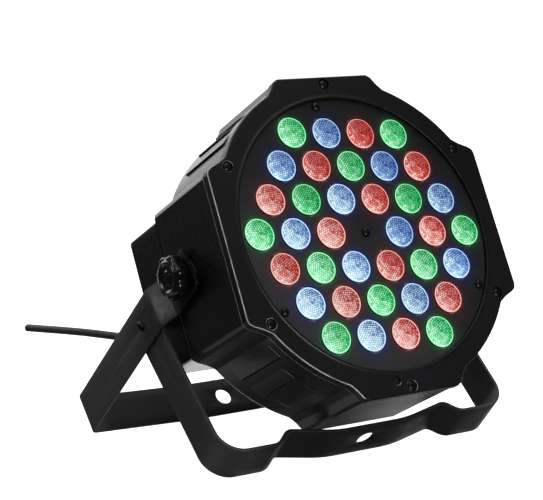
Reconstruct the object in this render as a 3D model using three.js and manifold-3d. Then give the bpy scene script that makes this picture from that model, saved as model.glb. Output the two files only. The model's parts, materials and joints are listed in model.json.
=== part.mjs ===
// Flat LED par light: a shallow black housing with 36 colour LEDs behind a
// round front plate, hung in a bent-strip yoke that also carries a folding
// front stand, so the two strips make a floor stand.
// Millimetres, +Z up. The beam leaves towards -Y and is tilted upwards; the
// yoke reaches down to the rear (+Y), the stand down to the front (-Y).
// The origin is the middle of the footprint, on the floor.

import * as THREE from 'three';
import { mergeVertices } from 'three/addons/utils/BufferGeometryUtils.js';
import Module from 'manifold-3d';

const wasm = await Module();
wasm.setup();

const DEG = Math.PI / 180;
const SIDES = [['left', -1], ['right', 1]];   // name, sign of x

// ---------------------------------------------------------------- dimensions
const GAP = 0.3;                 // clearance between neighbouring pieces

// The head has its own frame: X right, Y up in the face, Z out of the front,
// origin in the lens front plane on the optical axis.

// cutters that pass right through a head piece run between these two z
const BEHIND = -130;
const AHEAD = 20;

// optics
const LED_PITCH = 23;            // hexagonal
const LED_ROWS = [4, 5, 6, 7, 6, 5, 4];   // the middle place holds a screw
const LED_TURN = -4.36;          // turn of the LED grid in the bezel, degrees
const LENS_R = 9.3;
const LENS_HOLE_R = 10;
const BOARD_R = 80.6;            // lens web and LED board

// front
const FACE_R = 93.2;             // round part of the face outline
const SIDE_FLAT_X = 92;          // left and right flats
const TOP_FLAT_Y = 94.2;         // top and bottom flats
const BEZEL_FRONT_Z = 1.5;
const BEZEL_REAR_Z = -4.5;
const BEZEL_OPEN_R = 80.6;
const PLATE_R = 83.1;
const PLATE_FRONT_Z = -0.4;

// main housing
const SHELL_INSET = 0.6;         // housing outline inside the bezel outline
const WALL = 2.2;
const SHELL_FRONT_Z = -4.8;
const SHELL_REAR_Z = -66.5;      // step between main housing and rear cover
const LOUVERS = [                // angle from the x axis, z from, z to
  [41.5, -55, -10],
  [51, -54.5, -18.5],
  [60, -51, -21],
];
const LOWER_LOUVER_TURN = -0.8;  // added to the angle below the middle
const LOUVER_R = 93.8;           // lip of a louver

// rear cover
const COVER_FRONT_Z = SHELL_REAR_Z - GAP;
const BACK_Z = -101;             // outer face
const BACK_IN = BACK_Z + 2.4;    // inner face
const BACK_R = 70;               // round part
const BACK_BLOCK_X = 91.2;       // side blocks
const BACK_BLOCK_TOP = 40;       // their upper and lower edges, |y|
const BACK_BLOCK_LOW = 42;

// things in the rear face: centres in x, y
const FAN = [0, 28];
const FAN_HALF = 30;
const FAN_HOLE = 25;             // fan screws from the fan centre, in x and y
const FAN_DEPTH = 12;
const DISPLAY = [0, -22];
const DISPLAY_HALF = [16, 7];
const BUTTON_X = { menu: 24, down: 8, up: -8, enter: -24 };
const BUTTON_Y = -44;
const MIC = [28, -22];
const DMX_IN = [52, 20];
const DMX_OUT = [52, -16];
const GLAND = [-50, -20];
const CONTROL_BOARD_Z = BACK_Z + 10.1;   // rear face of the control board
const POWER_BOARD_Z = -62;               // rear face of the power supply board
const BOARD_T = 1.6;             // printed boards

// screw places
const BEZEL_SCREWS = [30, 90, 150, 210, 270, 330].map((angle) => polar(89.8, angle));
const PLATE_SCREWS = [96.8, 210.5, 330.2].map((angle) => polar(77.2, angle));
const CENTRE = [0, 0];
const REAR_SCREWS = [[83, 31], [-83, 31], [-83, -31], [83, -31]];
const FAN_SCREWS = [[-1, -1], [1, -1], [1, 1], [-1, 1]]
  .map(([x, y]) => [FAN[0] + x * FAN_HOLE, FAN[1] + y * FAN_HOLE]);
const REAR_SCREW_SEAT_Z = COVER_FRONT_Z - 4;

// pivot
const PIVOT_Z = -45;             // head pivot, behind the lens plane
const HEAD_TILT = 25;            // beam above horizontal, degrees
const YOKE_BELOW = 40;           // yoke arms below horizontal, degrees
const INSERT_POCKET_X = 88;      // outer end of the insert pocket, |x|
const KNOB_IN = 96;              // knob faces, |x|
const KNOB_OUT = 105.8;
const KNOB_R = 12.6;

// strips: x across, "out" along the arms, away from the pivot or pin
const STRIP_W = 25;
const STRIP_T = 2;
const BAR_HOLE_R = 5.5;          // clamp hole
const PIN_HOLE_R = 2.4;
const TAB_END = 10.7;            // yoke tabs' straight end, past the pivot
const TAB_IN = 93.6;             // inner face of the yoke tabs, |x|
const ARM_IN = 99.5;             // inner face of the yoke arms, |x|
const JOG_START = 20;            // joggle between tab and arm, out
const JOG_END = 31;
const YOKE_CORNER = 150.4;       // outer face of the bar at its corners
const YOKE_CROWN = 155.5;        // outer face of the bar at its crowned middle
const YOKE_CROWN_X = 28;
const PIN_AT = 48.8;             // stand pin, from the pivot along the arm
const STAND_IN = 97.2;           // inner face of the stand arms, |x|
const STAND_FOOT = 100.5;        // outer face of the feet, from the pin
const STAND_MID = 99.2;          // outer face of the bar's middle
const STAND_HIGH = 93.2;         // outer face where the bar is set back most
const STAND_CORNER_R = 22;

// mains cord
const CORD_R = 2.5;
const CORD_HINGE_Z = -116.5;     // where the flexible cord leaves the stub

const MATERIAL = {
  plastic_black: { color: 0x17171a, roughness: 0.42, metalness: 0 },
  bezel_black: { color: 0x141417, roughness: 0.38, metalness: 0 },
  plate_black: { color: 0x26262a, roughness: 0.5, metalness: 0.1 },
  strip_black: { color: 0x1d1d20, roughness: 0.45, metalness: 0.3 },
  lens_clear: {
    color: 0xdfe6ea, roughness: 0.12, metalness: 0, transparent: true, opacity: 0.55,
  },
  board_white: { color: 0xdedede, roughness: 0.5, metalness: 0 },
  board_green: { color: 0x1d5a34, roughness: 0.5, metalness: 0 },
  aluminium: { color: 0xb9bcc0, roughness: 0.35, metalness: 1 },
  screw_black: { color: 0x0e0e10, roughness: 0.22, metalness: 0.8 },
  knob_black: { color: 0x0d0d0f, roughness: 0.18, metalness: 0 },
  steel: { color: 0xa9acb0, roughness: 0.3, metalness: 1 },
  brass: { color: 0xb5954d, roughness: 0.35, metalness: 1 },
  fibre: { color: 0x2b2b2b, roughness: 0.9, metalness: 0 },
  fan_black: { color: 0x1a1a1c, roughness: 0.5, metalness: 0 },
  can_dark: { color: 0x2a3446, roughness: 0.35, metalness: 0.2 },
  core_yellow: { color: 0xb99a3a, roughness: 0.6, metalness: 0 },
  display_red: { color: 0x3a0d0d, roughness: 0.3, metalness: 0 },
  window_smoke: { color: 0x241012, roughness: 0.08, metalness: 0 },
  button_black: { color: 0x111113, roughness: 0.35, metalness: 0 },
  cord_black: { color: 0x121214, roughness: 0.55, metalness: 0 },
  connector_black: { color: 0x101012, roughness: 0.35, metalness: 0 },
};

// -------------------------------------------------------------- solid helpers
function solidOf(geometry) {
  const bare = geometry.clone();
  bare.deleteAttribute('normal');
  bare.deleteAttribute('uv');
  const merged = mergeVertices(bare, 1e-5);
  const mesh = new wasm.Mesh({
    numProp: 3,
    vertProperties: new Float32Array(merged.attributes.position.array),
    triVerts: new Uint32Array(merged.index.array),
  });
  mesh.merge();
  const solid = new wasm.Manifold(mesh);
  if (solid.isEmpty()) throw new Error('a piece is not closed');
  return solid;
}

function geometryOf(solid) {
  const mesh = solid.getMesh();
  const geometry = new THREE.BufferGeometry();
  const positions = new Float32Array(mesh.vertProperties);
  geometry.setAttribute('position', new THREE.BufferAttribute(positions, 3));
  geometry.setIndex(new THREE.BufferAttribute(new Uint32Array(mesh.triVerts), 1));
  geometry.computeVertexNormals();
  return geometry;
}

// a solid after its geometry went through move
function moved(solid, move) {
  const geometry = geometryOf(solid);
  move(geometry);
  return solidOf(geometry);
}

function extruded(points, from, to) {
  const shape = new THREE.Shape();
  points.forEach(([x, y], i) => (i ? shape.lineTo(x, y) : shape.moveTo(x, y)));
  shape.closePath();
  const options = { depth: to - from, bevelEnabled: false, steps: 1 };
  return new THREE.ExtrudeGeometry(shape, options).translate(0, 0, from);
}

// prism along Z
function prism(points, from, to) {
  return solidOf(extruded(points, from, to));
}

// cylinder along Z, or a cone that ends with endRadius
function zCylinder(radius, from, to, segments, [x, y] = CENTRE, endRadius = radius) {
  const geometry = new THREE.CylinderGeometry(endRadius, radius, to - from, segments);
  geometry.rotateX(90 * DEG);
  geometry.translate(x, y, (from + to) / 2);
  return solidOf(geometry);
}

function xCylinder(radius, from, to, segments, y = 0, z = 0) {
  const geometry = new THREE.CylinderGeometry(radius, radius, Math.abs(to - from), segments);
  geometry.rotateZ(90 * DEG);
  geometry.translate((from + to) / 2, y, z);
  return solidOf(geometry);
}

function box(x0, x1, y0, y1, z0, z1) {
  const geometry = new THREE.BoxGeometry(Math.abs(x1 - x0), Math.abs(y1 - y0), Math.abs(z1 - z0));
  geometry.translate((x0 + x1) / 2, (y0 + y1) / 2, (z0 + z1) / 2);
  return solidOf(geometry);
}

// box around a centre, by its half sizes
function centredBox([x, y], halfX, halfY, z0, z1) {
  return box(x - halfX, x + halfX, y - halfY, y + halfY, z0, z1);
}

// turned piece along Z; the profile is [radius, z], rising, from axis to axis
function turned(profile, segments, [x, y] = CENTRE) {
  const points = profile.map(([radius, z]) => new THREE.Vector2(radius, z));
  const geometry = new THREE.LatheGeometry(points, segments);
  geometry.rotateX(90 * DEG);
  geometry.translate(x, y, 0);
  return solidOf(geometry);
}

function union(solids) {
  return solids.reduce((sum, solid) => sum.add(solid));
}

function cut(body, cutters) {
  return cutters.reduce((rest, cutter) => rest.subtract(cutter), body);
}

// round holes along Z, right through unless from or to is given
function drilled(body, points, radius, segments, from = BEHIND, to = AHEAD) {
  return cut(body, points.map((point) => zCylinder(radius, from, to, segments, point)));
}

// ------------------------------------------------------------ outline helpers
function polar(radius, degrees) {
  return [radius * Math.cos(degrees * DEG), radius * Math.sin(degrees * DEG)];
}

function step(start, end) {
  return [end[0] - start[0], end[1] - start[1]];
}

// where a corner lands when both its edges move to their right
function shiftedCorner([x, y], edgeIn, edgeOut, distance) {
  const [before, after] = [edgeIn, edgeOut].map(([dx, dy]) => {
    const length = Math.hypot(dx, dy);
    return [dy / length, -dx / length];
  });
  const scale = distance / (1 + before[0] * after[0] + before[1] * after[1]);
  return [x + (before[0] + after[0]) * scale, y + (before[1] + after[1]) * scale];
}

// a closed counter-clockwise outline moved outwards; negative goes inwards
function grown(points, distance) {
  const count = points.length;
  return points.map((point, i) => {
    const edgeIn = step(points[(i + count - 1) % count], point);
    const edgeOut = step(point, points[(i + 1) % count]);
    return shiftedCorner(point, edgeIn, edgeOut, distance);
  });
}

// points from the +x side, followed by their mirror image on the -x side
function bothSides(points) {
  return [...points, ...[...points].reverse().map(([x, y]) => [-x, y])];
}

function halfTurned(points) {
  return points.map(([x, y]) => [-x, -y]);
}

// the face outline: a circle with a flat block on each of its four sides
function faceOutline() {
  const quarter = [
    [SIDE_FLAT_X, 41.2],
    [SIDE_FLAT_X - 0.9, 43.6],
    [SIDE_FLAT_X - 3.4, 45.3],
    [SIDE_FLAT_X - 9.4, 47.9],
  ];
  for (let i = 0; i <= 4; i++) quarter.push(polar(FACE_R, 32.8 + i * 8));
  quarter.push([36.4, 88], [33.4, 92.6], [30.6, TOP_FLAT_Y]);
  const upper = bothSides(quarter);
  return [...upper, ...halfTurned(upper)];
}

// the rear cover outline: a circle with a block on each side
function backOutline(grow = 0) {
  const radius = BACK_R + grow;
  const blockX = BACK_BLOCK_X + grow;
  const chamfer = 2.2;
  const half = (blockY) => {
    const quarter = [[blockX, blockY - chamfer], [blockX - chamfer, blockY]];
    const start = Math.asin((blockY + 0.01) / radius) / DEG;
    for (let i = 0; i <= 6; i++) quarter.push(polar(radius, start + ((90 - start) * i) / 6.5));
    return bothSides(quarter);
  };
  return [...half(BACK_BLOCK_TOP + grow), ...halfTurned(half(BACK_BLOCK_LOW + grow))];
}

// ------------------------------------------------------------ front and optics
function ledPlaces() {
  const middle = (LED_ROWS.length - 1) / 2;
  const cos = Math.cos(LED_TURN * DEG);
  const sin = Math.sin(LED_TURN * DEG);
  const places = [];
  LED_ROWS.forEach((count, row) => {
    for (let k = 0; k < count; k++) {
      if (row === middle && k === (count - 1) / 2) continue;
      const x = (k - (count - 1) / 2) * LED_PITCH;
      const y = (middle - row) * LED_PITCH * Math.sqrt(3) / 2;
      places.push([x * cos - y * sin, x * sin + y * cos]);
    }
  });
  return places;
}
const LED_PLACES = ledPlaces();

function frontBezel() {
  const outline = faceOutline();
  const edge = 0.6;              // small step around the front face
  let bezel = union([
    prism(outline, BEZEL_REAR_Z, BEZEL_FRONT_Z - edge),
    prism(grown(outline, -edge), BEZEL_FRONT_Z - 2 * edge, BEZEL_FRONT_Z),
    zCylinder(83, BEZEL_FRONT_Z - 0.4, BEZEL_FRONT_Z + 0.6, 40),   // raised lip
  ]);
  bezel = drilled(bezel, [CENTRE], BEZEL_OPEN_R, 40);
  bezel = drilled(bezel, [CENTRE], PLATE_R + GAP, 40, BEHIND, -0.1);
  // hollow rear, leaving the wall, a ring around the plate and screw bosses
  let hollow = prism(grown(outline, -2), BEZEL_REAR_Z - 1, -1);
  hollow = drilled(hollow, [CENTRE], PLATE_R + 2, 40, BEHIND, 0);
  hollow = drilled(hollow, BEZEL_SCREWS, 4.4, 10, BEHIND, 0);
  bezel = bezel.subtract(hollow);
  // screw holes with their head recesses
  bezel = drilled(bezel, BEZEL_SCREWS, 1.8, 8);
  bezel = drilled(bezel, BEZEL_SCREWS, 3.15, 10, -0.6);
  // locating hole beside the lowest screw
  return drilled(bezel, [[-9.2, -85.9]], 2.4, 10, -0.4);
}

function frontPlate() {
  const lensHoles = LED_PLACES.map((place) => zCylinder(LENS_HOLE_R, BEHIND, AHEAD, 10, place));
  const plate = zCylinder(PLATE_R, -2, PLATE_FRONT_Z, 40).subtract(union(lensHoles));
  return drilled(plate, [...PLATE_SCREWS, CENTRE], 1.8, 8);
}

// clearance for the plate screws and the centre screw
function withScrewClearance(board) {
  return drilled(drilled(board, PLATE_SCREWS, 2.9, 8), [CENTRE], 2.2, 8);
}

// 36 collimator lenses moulded on one web
function lensArray() {
  const profile = [[0, -11], [3.8, -11], [LENS_R, -3.4], [LENS_R, 0], [0, 0]];
  const lenses = LED_PLACES.map((place) => turned(profile, 8, place));
  return withScrewClearance(union([zCylinder(BOARD_R, -4, -2.6, 32), ...lenses]));
}

function ledBoard() {
  const emitters = LED_PLACES.map((place) => centredBox(place, 2.6, 2.6, -13.2, -11.4));
  return withScrewClearance(union([zCylinder(BOARD_R, -14.6, -13, 32), ...emitters]));
}

// finned plate behind the LED board
function heatSpreader() {
  const finPitch = 16;
  const fins = [-3, -2, -1, 0, 1, 2, 3].map((i) => {
    const x = i * finPitch;
    return centredBox([x, 0], 1.2, Math.sqrt(76 * 76 - x * x), -34, -17.5);
  });
  const spreader = union([zCylinder(85, -18, -15, 32), ...fins]);
  return drilled(spreader, [...PLATE_SCREWS, CENTRE], 1.6, 8, -18.5);
}

// ---------------------------------------------------------------- main housing
// hole along the pivot axis through one side of the head
function pivotBore(sign, radius, segments, outer = 100) {
  return xCylinder(radius, sign * 70, sign * outer, segments, 0, PIVOT_Z);
}

// louvers in the four diagonals: a raised lip over a slot through the wall;
// all of them open downwards
function withLouvers(housing) {
  const root = 91.4;             // where the hood runs into the wall
  const slotIn = 88.6;
  const slotOut = LOUVER_R - 0.8;
  for (const [signX, signY] of [[1, 1], [-1, 1], [-1, -1], [1, -1]]) {
    const place = (points) => points.map(([x, y]) => [signX * x, signY * y]);
    for (const [upper, from, to] of LOUVERS) {
      const angle = signY > 0 ? upper : upper + LOWER_LOUVER_TURN;
      const at = (radius, turn) => polar(radius, angle + turn * signY);
      const hood = [at(root, 0), at(LOUVER_R, 0), at(LOUVER_R - 0.1, 1), at(root, 8)];
      const slot = [at(slotIn, -0.5), at(slotOut, -0.5), at(slotOut, 1.1), at(slotIn, 1.1)];
      housing = housing.add(prism(place(hood), from, to));
      housing = housing.subtract(prism(place(slot), from + 1, to - 1));
    }
  }
  return housing;
}

// front shell up to the rear step
function mainHousing() {
  const outline = grown(faceOutline(), -SHELL_INSET);
  const rearEdge = SHELL_REAR_Z + 2;
  let housing = prism(outline, rearEdge, SHELL_FRONT_Z);
  housing = housing.add(prism(grown(outline, -1), SHELL_REAR_Z, rearEdge + 0.3));
  housing = cut(housing, [
    prism(grown(outline, -WALL), SHELL_REAR_Z + WALL + 0.2, AHEAD),
    // opening towards the rear cover
    prism(backOutline(-4.5), SHELL_REAR_Z - 5, SHELL_REAR_Z + 5),
  ]);

  // bezel screw bosses along the wall, and ledges for the heat spreader
  const inside = prism(grown(outline, -0.5), SHELL_REAR_Z + 1, SHELL_FRONT_Z);
  const addPost = (point, radius, from, to) => {
    housing = housing.add(zCylinder(radius, from, to, 8, point).intersect(inside));
  };
  for (const point of BEZEL_SCREWS) addPost(point, 4.2, SHELL_REAR_Z + 20, SHELL_FRONT_Z);
  for (const angle of [64, 116, 244, 296]) {
    addPost(polar(87.2, angle), 4, SHELL_REAR_Z + 20, -18 - GAP);
  }
  housing = drilled(housing, BEZEL_SCREWS, 1.65, 8, -24);

  // pivot bosses with pockets for the brass inserts
  for (const [, sign] of SIDES) {
    housing = housing.add(xCylinder(9, sign * 80, sign * 90.6, 12, 0, PIVOT_Z));
    housing = cut(housing, [
      pivotBore(sign, 3.4, 12),
      pivotBore(sign, 6.5, 12, INSERT_POCKET_X),
    ]);
  }

  // bosses that take the rear cover screws
  for (const point of REAR_SCREWS) {
    addPost(point, 4.6, SHELL_REAR_Z + 0.5, SHELL_REAR_Z + 14);
    housing = drilled(housing, [point], 1.65, 8, SHELL_REAR_Z - 2, SHELL_REAR_Z + 12);
  }
  return withLouvers(housing);
}

// ------------------------------------------------------------------ rear cover
// rows of slots filling a circle, parted by a rib up the middle
function grilleSlots() {
  const [fanX, fanY] = FAN;
  const radius = 26;
  const pitch = 5.4;
  const halfSlot = 1.4;
  const halfRib = 1.5;
  const slots = [];
  for (let i = -4; i <= 4; i++) {
    const reach = Math.sqrt(radius ** 2 - (pitch * i) ** 2);
    const y = fanY + i * pitch;
    for (const [, sign] of SIDES) {
      slots.push(box(fanX + sign * halfRib, fanX + sign * reach,
        y - halfSlot, y + halfSlot, BEHIND, AHEAD));
    }
  }
  return union(slots);
}

// shallow tray with panel openings, grille and side blocks
function rearCover() {
  const outline = backOutline();
  let cover = prism(outline, BACK_Z + 1, COVER_FRONT_Z);
  cover = cover.add(prism(backOutline(-1), BACK_Z, BACK_Z + 1.4));
  cover = cover.subtract(prism(backOutline(-WALL), BACK_IN, AHEAD));
  const inside = prism(outline, BACK_Z + 1, AHEAD);
  for (const point of REAR_SCREWS) {
    cover = cover.add(zCylinder(5.6, BACK_IN - 1, COVER_FRONT_Z, 8, point).intersect(inside));
    cover = drilled(cover, [point], 3.6, 10, BEHIND, REAR_SCREW_SEAT_Z);
    cover = drilled(cover, [point], 1.8, 8);
  }
  cover = cover.subtract(grilleSlots());
  cover = drilled(cover, FAN_SCREWS, 1.8, 8);
  const [halfX, halfY] = DISPLAY_HALF;
  cover = cover.subtract(centredBox(DISPLAY, halfX + GAP, halfY + GAP, BEHIND, AHEAD));
  cover = drilled(cover, Object.values(BUTTON_X).map((x) => [x, BUTTON_Y]), 3.5, 10);
  cover = drilled(cover, [MIC], 2.5, 8);
  cover = drilled(cover, [DMX_IN, DMX_OUT], 12.2, 18);
  return drilled(cover, [GLAND], 6.4, 14);
}

// ---------------------------------------------------------------------- screws
// seat is the underside of the head; a tip with higher z makes the screw
// point forwards
const BEZEL_SCREW = { seat: -0.3, tip: -20, headRadius: 2.75, headHeight: 1.5, shankRadius: 1.3 };
const PLATE_SCREW = {
  seat: PLATE_FRONT_Z + GAP, tip: -17.6, headRadius: 2.6, headHeight: 1.3, shankRadius: 1.2,
};
const REAR_SCREW = {
  seat: REAR_SCREW_SEAT_Z - GAP, tip: -56, headRadius: 3.1, headHeight: 2, shankRadius: 1.3,
};
const FAN_SCREW = {
  seat: BACK_Z - GAP, tip: BACK_Z + 15, headRadius: 2.8, headHeight: 1.4, shankRadius: 1.3,
};

// pan head with a plain shank
function screw(point, { seat, tip, headRadius, headHeight, shankRadius }) {
  const direction = Math.sign(seat - tip);
  const top = seat + direction * headHeight;
  const profile = [
    [0, tip], [shankRadius, tip], [shankRadius, seat],
    [headRadius, seat], [headRadius * 0.8, top], [0, top],
  ];
  return turned(direction > 0 ? profile : profile.reverse(), 8, point);
}

function addScrews(prefix, points, sizes) {
  points.forEach((point, i) => {
    addMesh(`${prefix}_${i + 1}`, screw(point, sizes), 'screw_black', face);
  });
}

// ----------------------------------------------------------------- cooling fan
const FAN_REAR_Z = BACK_IN + GAP;
const FAN_FRONT_Z = FAN_REAR_Z + FAN_DEPTH;

function fanFrame() {
  const spokeRear = FAN_FRONT_Z - 1.6;
  let frame = centredBox(FAN, FAN_HALF, FAN_HALF, FAN_REAR_Z, FAN_FRONT_Z);
  frame = drilled(frame, [FAN], 28, 24);
  frame = frame.add(union([
    centredBox(FAN, 29, 1.5, spokeRear, FAN_FRONT_Z),
    centredBox(FAN, 1.5, 29, spokeRear, FAN_FRONT_Z),
    zCylinder(11, spokeRear, FAN_FRONT_Z, 16, FAN),
  ]));
  return drilled(frame, FAN_SCREWS, 1.6, 8);
}

function fanRotor() {
  const bladeCount = 7;
  const bladePitch = 48;         // degrees
  const bladeMiddle = 18.6;      // from the axis
  const parts = [zCylinder(12, FAN_REAR_Z + 0.6, FAN_FRONT_Z - 2.1, 16)];
  for (let i = 0; i < bladeCount; i++) {
    const blade = new THREE.BoxGeometry(16.5, 1.3, 9);
    blade.rotateX(bladePitch * DEG);
    blade.translate(bladeMiddle, 0, (FAN_REAR_Z + FAN_FRONT_Z - 1.5) / 2);
    blade.rotateZ((i * 360 / bladeCount) * DEG);
    parts.push(solidOf(blade));
  }
  return moved(union(parts), (geometry) => geometry.translate(...FAN, 0));
}

// --------------------------------------------------------------- control panel
function displayWindow() {
  return centredBox(DISPLAY, ...DISPLAY_HALF, BACK_Z + 0.2, BACK_Z + 1.8);
}

function displayModule() {
  return centredBox(DISPLAY, 15, 6.2, BACK_Z + 2.8, CONTROL_BOARD_Z - GAP);
}

// board with a switch behind each button and two blocks on its front
function controlBoard() {
  const rear = CONTROL_BOARD_Z;
  const blockZ = rear + BOARD_T - 0.1;
  return union([
    box(-34, 34, -54, -15, rear, rear + BOARD_T),
    ...Object.values(BUTTON_X).map((x) => (
      centredBox([x, BUTTON_Y], 3, 3, rear - 1.6, rear + 0.1))),
    box(-20, -8, -36, -28, blockZ, rear + 3.2),
    box(6, 26, -40, -26, blockZ, rear + 4),
  ]);
}

// cap, retaining collar and stem towards the switch
function button(x) {
  const capZ = BACK_Z - 1.5;
  const collarRear = BACK_IN + 0.4;
  const collarFront = BACK_IN + 1.2;
  const stemEnd = CONTROL_BOARD_Z - 3.2;
  return turned([
    [0, capZ], [3, capZ], [3, collarRear], [4.6, collarRear],
    [4.6, collarFront], [1.5, collarFront], [1.5, stemEnd], [0, stemEnd],
  ], 8, [x, BUTTON_Y]);
}

function microphone() {
  const rear = BACK_Z + 0.4;
  const shoulder = BACK_IN + GAP;
  const end = CONTROL_BOARD_Z - 0.4;
  return turned([
    [0, rear], [2.1, rear], [2.1, shoulder], [3.2, shoulder], [3.2, end], [0, end],
  ], 8, MIC);
}

// ---------------------------------------------------------------- power supply
const POWER_PART_Z = POWER_BOARD_Z + BOARD_T + GAP;   // rear of the loose parts

function powerSupplyBoard() {
  const rear = POWER_BOARD_Z;
  const blockZ = rear + BOARD_T - 0.1;
  return union([
    box(-58, -8, -46, 44, rear, rear + BOARD_T),
    box(-20, -12, 10, 34, blockZ, rear + 20),
    box(-56, -42, 14, 30, blockZ, rear + 8),
  ]);
}

function transformer() {
  const centre = [-40, -22];
  return centredBox(centre, 12, 12, POWER_PART_Z, POWER_BOARD_Z + 19)
    .add(centredBox(centre, 6, 15, POWER_BOARD_Z + 5, POWER_BOARD_Z + 16));
}

function bulkCapacitor() {
  const top = POWER_BOARD_Z + 24;
  return turned([
    [0, POWER_PART_Z], [7.6, POWER_PART_Z], [8, POWER_BOARD_Z + 3],
    [8, top - 1], [7.2, top], [0, top],
  ], 12, [-34, 4]);
}

// ------------------------------------------------- data connectors, cable gland
const CONTACTS = [90, 210, 330].map((angle) => polar(4.8, angle));
const CONNECTOR_RIM_Z = BACK_Z - 2;

function connectorShell(centre) {
  return union([
    zCylinder(11.8, CONNECTOR_RIM_Z, BACK_Z + 20, 18, centre),
    zCylinder(13.6, CONNECTOR_RIM_Z, BACK_Z - GAP, 18, centre),
  ]);
}

function contactsAt([x, y]) {
  return CONTACTS.map(([dx, dy]) => [x + dx, y + dy]);
}

// deep socket with three pins
function dmxIn() {
  const shell = drilled(connectorShell(DMX_IN), [DMX_IN], 9.6, 18, BEHIND, BACK_Z + 12);
  const pins = contactsAt(DMX_IN)
    .map((point) => zCylinder(1.2, BACK_Z + 1, BACK_Z + 12.5, 6, point));
  return union([shell, ...pins]);
}

// shallow recess with three contact holes
function dmxOut() {
  const shell = drilled(connectorShell(DMX_OUT), [DMX_OUT], 9.6, 18, BEHIND, BACK_Z + 0.5);
  return drilled(shell, contactsAt(DMX_OUT), 1.5, 6, BEHIND, BACK_Z + 12);
}

function cableGland() {
  const profile = [
    [0, BACK_Z - 10.5], [4.6, BACK_Z - 10.5], [7.2, BACK_Z - 8], [7.2, BACK_Z - 4.3],
    [8.5, BACK_Z - 3.5], [8.5, BACK_Z - GAP], [0, BACK_Z - GAP],
  ];
  const gland = turned(profile, 12, GLAND).add(zCylinder(6, BACK_Z - 1, BACK_Z + 8, 12, GLAND));
  return drilled(gland, [GLAND], CORD_R + 0.4, 10);
}

function glandNut() {
  const hexagon = [0, 60, 120, 180, 240, 300].map((angle) => {
    const [x, y] = polar(9.2, angle);
    return [GLAND[0] + x, GLAND[1] + y];
  });
  return drilled(prism(hexagon, BACK_IN + GAP, BACK_IN + 4.3), [GLAND], 6.5, 12);
}

function cordEnd() {
  return zCylinder(CORD_R, CORD_HINGE_Z + CORD_R + 0.4, BACK_Z + 16, 10, GLAND);
}

// -------------------------------------------------------------- pivot hardware
// brass insert in its boss
function insertNut(sign) {
  return xCylinder(6, sign * 80.5, sign * (INSERT_POCKET_X - GAP), 10, 0, PIVOT_Z)
    .subtract(pivotBore(sign, 3.3, 10));
}

function frictionWasher(sign) {
  return xCylinder(9.8, sign * 91.9, sign * (TAB_IN - GAP), 20, 0, PIVOT_Z)
    .subtract(pivotBore(sign, 3.5, 10));
}

// lobed knob with a raised outer face and a blind hole for the stud
function knob(sign) {
  const pointCount = 42;
  const lobes = 7;
  const lobeDepth = 1.5;
  const outline = [];
  for (let i = 0; i < pointCount; i++) {
    const angle = (i / pointCount) * 2 * Math.PI;
    const radius = KNOB_R - lobeDepth * (0.5 - 0.5 * Math.cos(lobes * angle)) ** 1.6;
    outline.push([radius * Math.cos(angle), radius * Math.sin(angle)]);
  }
  const width = KNOB_OUT - KNOB_IN;
  const body = union([
    prism(outline, 2.2, width - 1),
    zCylinder(9, 0, 2.6, 16),
    zCylinder(9.6, width - 1.4, width, 16, CENTRE, 8.6),
  ]).subtract(zCylinder(3.4, -1, width - 2.4, 10));
  return moved(body, (geometry) => {
    geometry.rotateY(sign * 90 * DEG);
    geometry.translate(sign * KNOB_IN, 0, PIVOT_Z);
  });
}

// passes the yoke tab into the insert
function knobStud(sign) {
  return xCylinder(2.9, sign * 82, sign * (KNOB_OUT - 2.8), 10, 0, PIVOT_Z);
}

// -------------------------------------------------------------- yoke and stand
// bent strip from its inner face on the +x side, [x, out]; the thickness
// goes outwards
function bentStrip(halfPath) {
  const path = bothSides(halfPath);
  const edges = path.slice(1).map((point, i) => step(path[i], point));
  const outer = path.map((point, i) => (
    shiftedCorner(point, edges[i - 1] ?? edges[0], edges[i] ?? edges[i - 1], STRIP_T)));
  return prism([...path, ...outer.reverse()], -STRIP_W / 2, STRIP_W / 2);
}

// shape the arm ends to an outline seen from the side, [across, out]
function withEnds(strip, endOutline) {
  const beyond = STRIP_W / 2 + 1;
  const rest = [[beyond, 0], [beyond, 200], [-beyond, 200], [-beyond, 0]];
  const keep = extruded([...endOutline, ...rest], -120, 120);
  keep.rotateY(90 * DEG);
  return strip.intersect(solidOf(keep));
}

// hole through both arms
function armHole(radius, segments, out = 0) {
  return xCylinder(radius, -110, 110, segments, out);
}

// clamp hole through the bar
function barHole(out) {
  const geometry = new THREE.CylinderGeometry(BAR_HOLE_R, BAR_HOLE_R, 40, 20);
  return solidOf(geometry.translate(0, out, 0));
}

function mainYoke() {
  const corner = YOKE_CORNER - STRIP_T;
  const strip = bentStrip([
    [TAB_IN, -STRIP_W / 2 - 1],
    [TAB_IN, JOG_START],
    [ARM_IN, JOG_END],
    [ARM_IN, corner - 3],
    [ARM_IN - 0.9, corner - 0.9],
    [ARM_IN - 3, corner],
    [YOKE_CROWN_X, YOKE_CROWN - STRIP_T],
  ]);
  // straight tab ends with small round corners
  const radius = 3.5;
  const inset = STRIP_W / 2 - radius;
  const cornerArc = [0, 30, 60, 90].map((angle) => {
    const [across, out] = polar(radius, angle);
    return [-inset - across, -TAB_END + radius - out];
  });
  return cut(withEnds(strip, bothSides(cornerArc)), [
    armHole(3.4, 12),
    armHole(PIN_HOLE_R, 10, PIN_AT),
    barHole(YOKE_CROWN),
  ]);
}

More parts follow.
